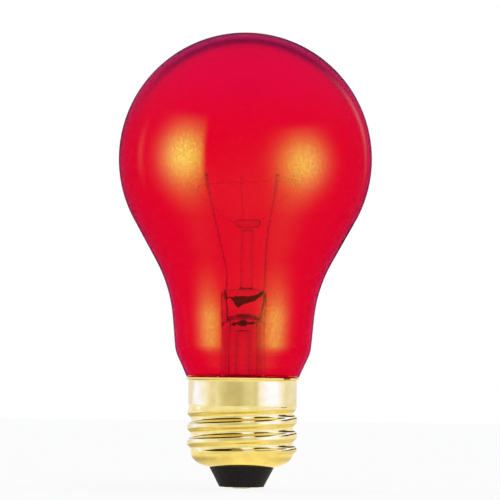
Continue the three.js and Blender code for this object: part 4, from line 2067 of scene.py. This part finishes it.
    def build_lights(self) -> None:
        """Makes the round wall with the soft lights, which only a sharp mirror such as the glass shows."""
        shell = bmesh.new()
        bmesh.ops.create_icosphere(shell, subdivisions=4, radius=self.lights_reach)
        mesh = bpy.data.meshes.new("studio_lights")
        shell.to_mesh(mesh)
        shell.free()
        wall = put("studio_lights", mesh)
        wall.location = (0, 0, self.lights_height)
        material = bpy.data.materials.new("soft_lights")
        material.use_nodes = True
        tree = material.node_tree
        tree.nodes.clear()
        unit = _node(tree, "VectorMath")
        unit.operation = "NORMALIZE"
        _plug(tree, unit.inputs[0], _node(tree, "TexCoord").outputs["Object"])
        way = _node(tree, "SeparateXYZ", Vector=unit.outputs[0]).outputs
        forward = _maths(tree, "MULTIPLY", way["Y"], -1.0)
        bearing = _degrees(tree, "ARCTAN2", way["X"], forward)
        rise = _degrees(tree, "ARCSINE", way["Z"])
        brightness = self._mirror_room(tree, bearing, rise)
        glow = _node(tree, "Emission", Color=(1.0, 1.0, 1.0), Strength=brightness)
        mirrored = _node(tree, "LightPath").outputs["Is Singular Ray"]
        choice = _node(tree, "MixShader", Fac=mirrored)
        _plug(tree, choice.inputs[1], _node(tree, "BsdfTransparent").outputs[0])
        _plug(tree, choice.inputs[2], glow.outputs[0])
        _node(tree, "OutputMaterial", Surface=choice.outputs[0])
        material.cycles.emission_sampling = "NONE"
        mesh.materials.append(material)
        wall.visible_camera = wall.visible_diffuse = wall.visible_transmission = False
        wall.visible_shadow = wall.visible_volume_scatter = False

    def build_floor(self) -> None:
        """Makes the pale floor, which takes only a faint shadow and can be seen through from below."""
        reach = self.floor_reach
        mesh = bpy.data.meshes.new("studio_floor")
        corners = [(-reach, -reach, 0), (reach, -reach, 0), (reach, reach, 0), (-reach, reach, 0)]
        mesh.from_pydata(corners, [], [(0, 1, 2, 3)])
        floor = put("studio_floor", mesh)
        surface = Surface("pale_floor")
        back = _node(surface.tree, "NewGeometry").outputs["Backfacing"]
        surface.set(
            Base_Color=self.floor_colour,
            Roughness=1.0,
            Specular_IOR_Level=0.0,
            Emission_Color=(1.0, 1.0, 1.0),
            Emission_Strength=self.floor_glow,
            Alpha=_maths(surface.tree, "SUBTRACT", 1.0, back),
        )
        mesh.materials.append(surface.material)
        floor.visible_glossy = False

    def build_camera(self) -> None:
        """Makes the camera, with a long lens, level with the lamp."""
        target = Vector((self.shift_right, 0, self.eye_level))
        rise = math.radians(self.elevation)
        data = bpy.data.cameras.new("studio_camera")
        data.sensor_width = self.film
        data.lens = self.film * self.distance / self.frame_width
        data.clip_start, data.clip_end = 0.01, 50
        camera = put("studio_camera", data)
        camera.location = target + Vector((0, -math.cos(rise), math.sin(rise))) * self.distance
        look = (target - camera.location).to_track_quat("-Z", "Y").to_matrix()
        camera.rotation_euler = (look @ Matrix.Rotation(math.radians(self.roll), 3, "Z")).to_euler()
        bpy.context.scene.camera = camera

    def set_look(self) -> None:
        """Sets how light is turned into colour, and how deep light goes into the glass."""
        scene = bpy.context.scene
        scene.view_settings.view_transform = "Standard"
        scene.view_settings.look = "None"
        scene.cycles.max_bounces = 28
        scene.cycles.transmission_bounces = 28
        scene.cycles.glossy_bounces = 8
        scene.cycles.use_denoising = True
        scene.cycles.blur_glossy = 0.0

    def build(self) -> None:
        """Makes the studio."""
        self.build_world()
        self.build_lights()
        self.build_floor()
        self.build_camera()
        self.set_look()
        log.info("studio with %d glows", len(self.glows))


def main() -> None:
    """Builds the lamp and its studio."""
    logging.basicConfig(level=logging.INFO, format="%(name)s: %(message)s")
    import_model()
    levels, effects = Levels.read(), Effects()
    log.info("levels %s", levels)
    for kind in (Bulb, ScrewCap, Stem, Mount, OuterWires):
        kind(levels, effects).build()
    Studio().build()


if __name__ == "__main__":
    main()
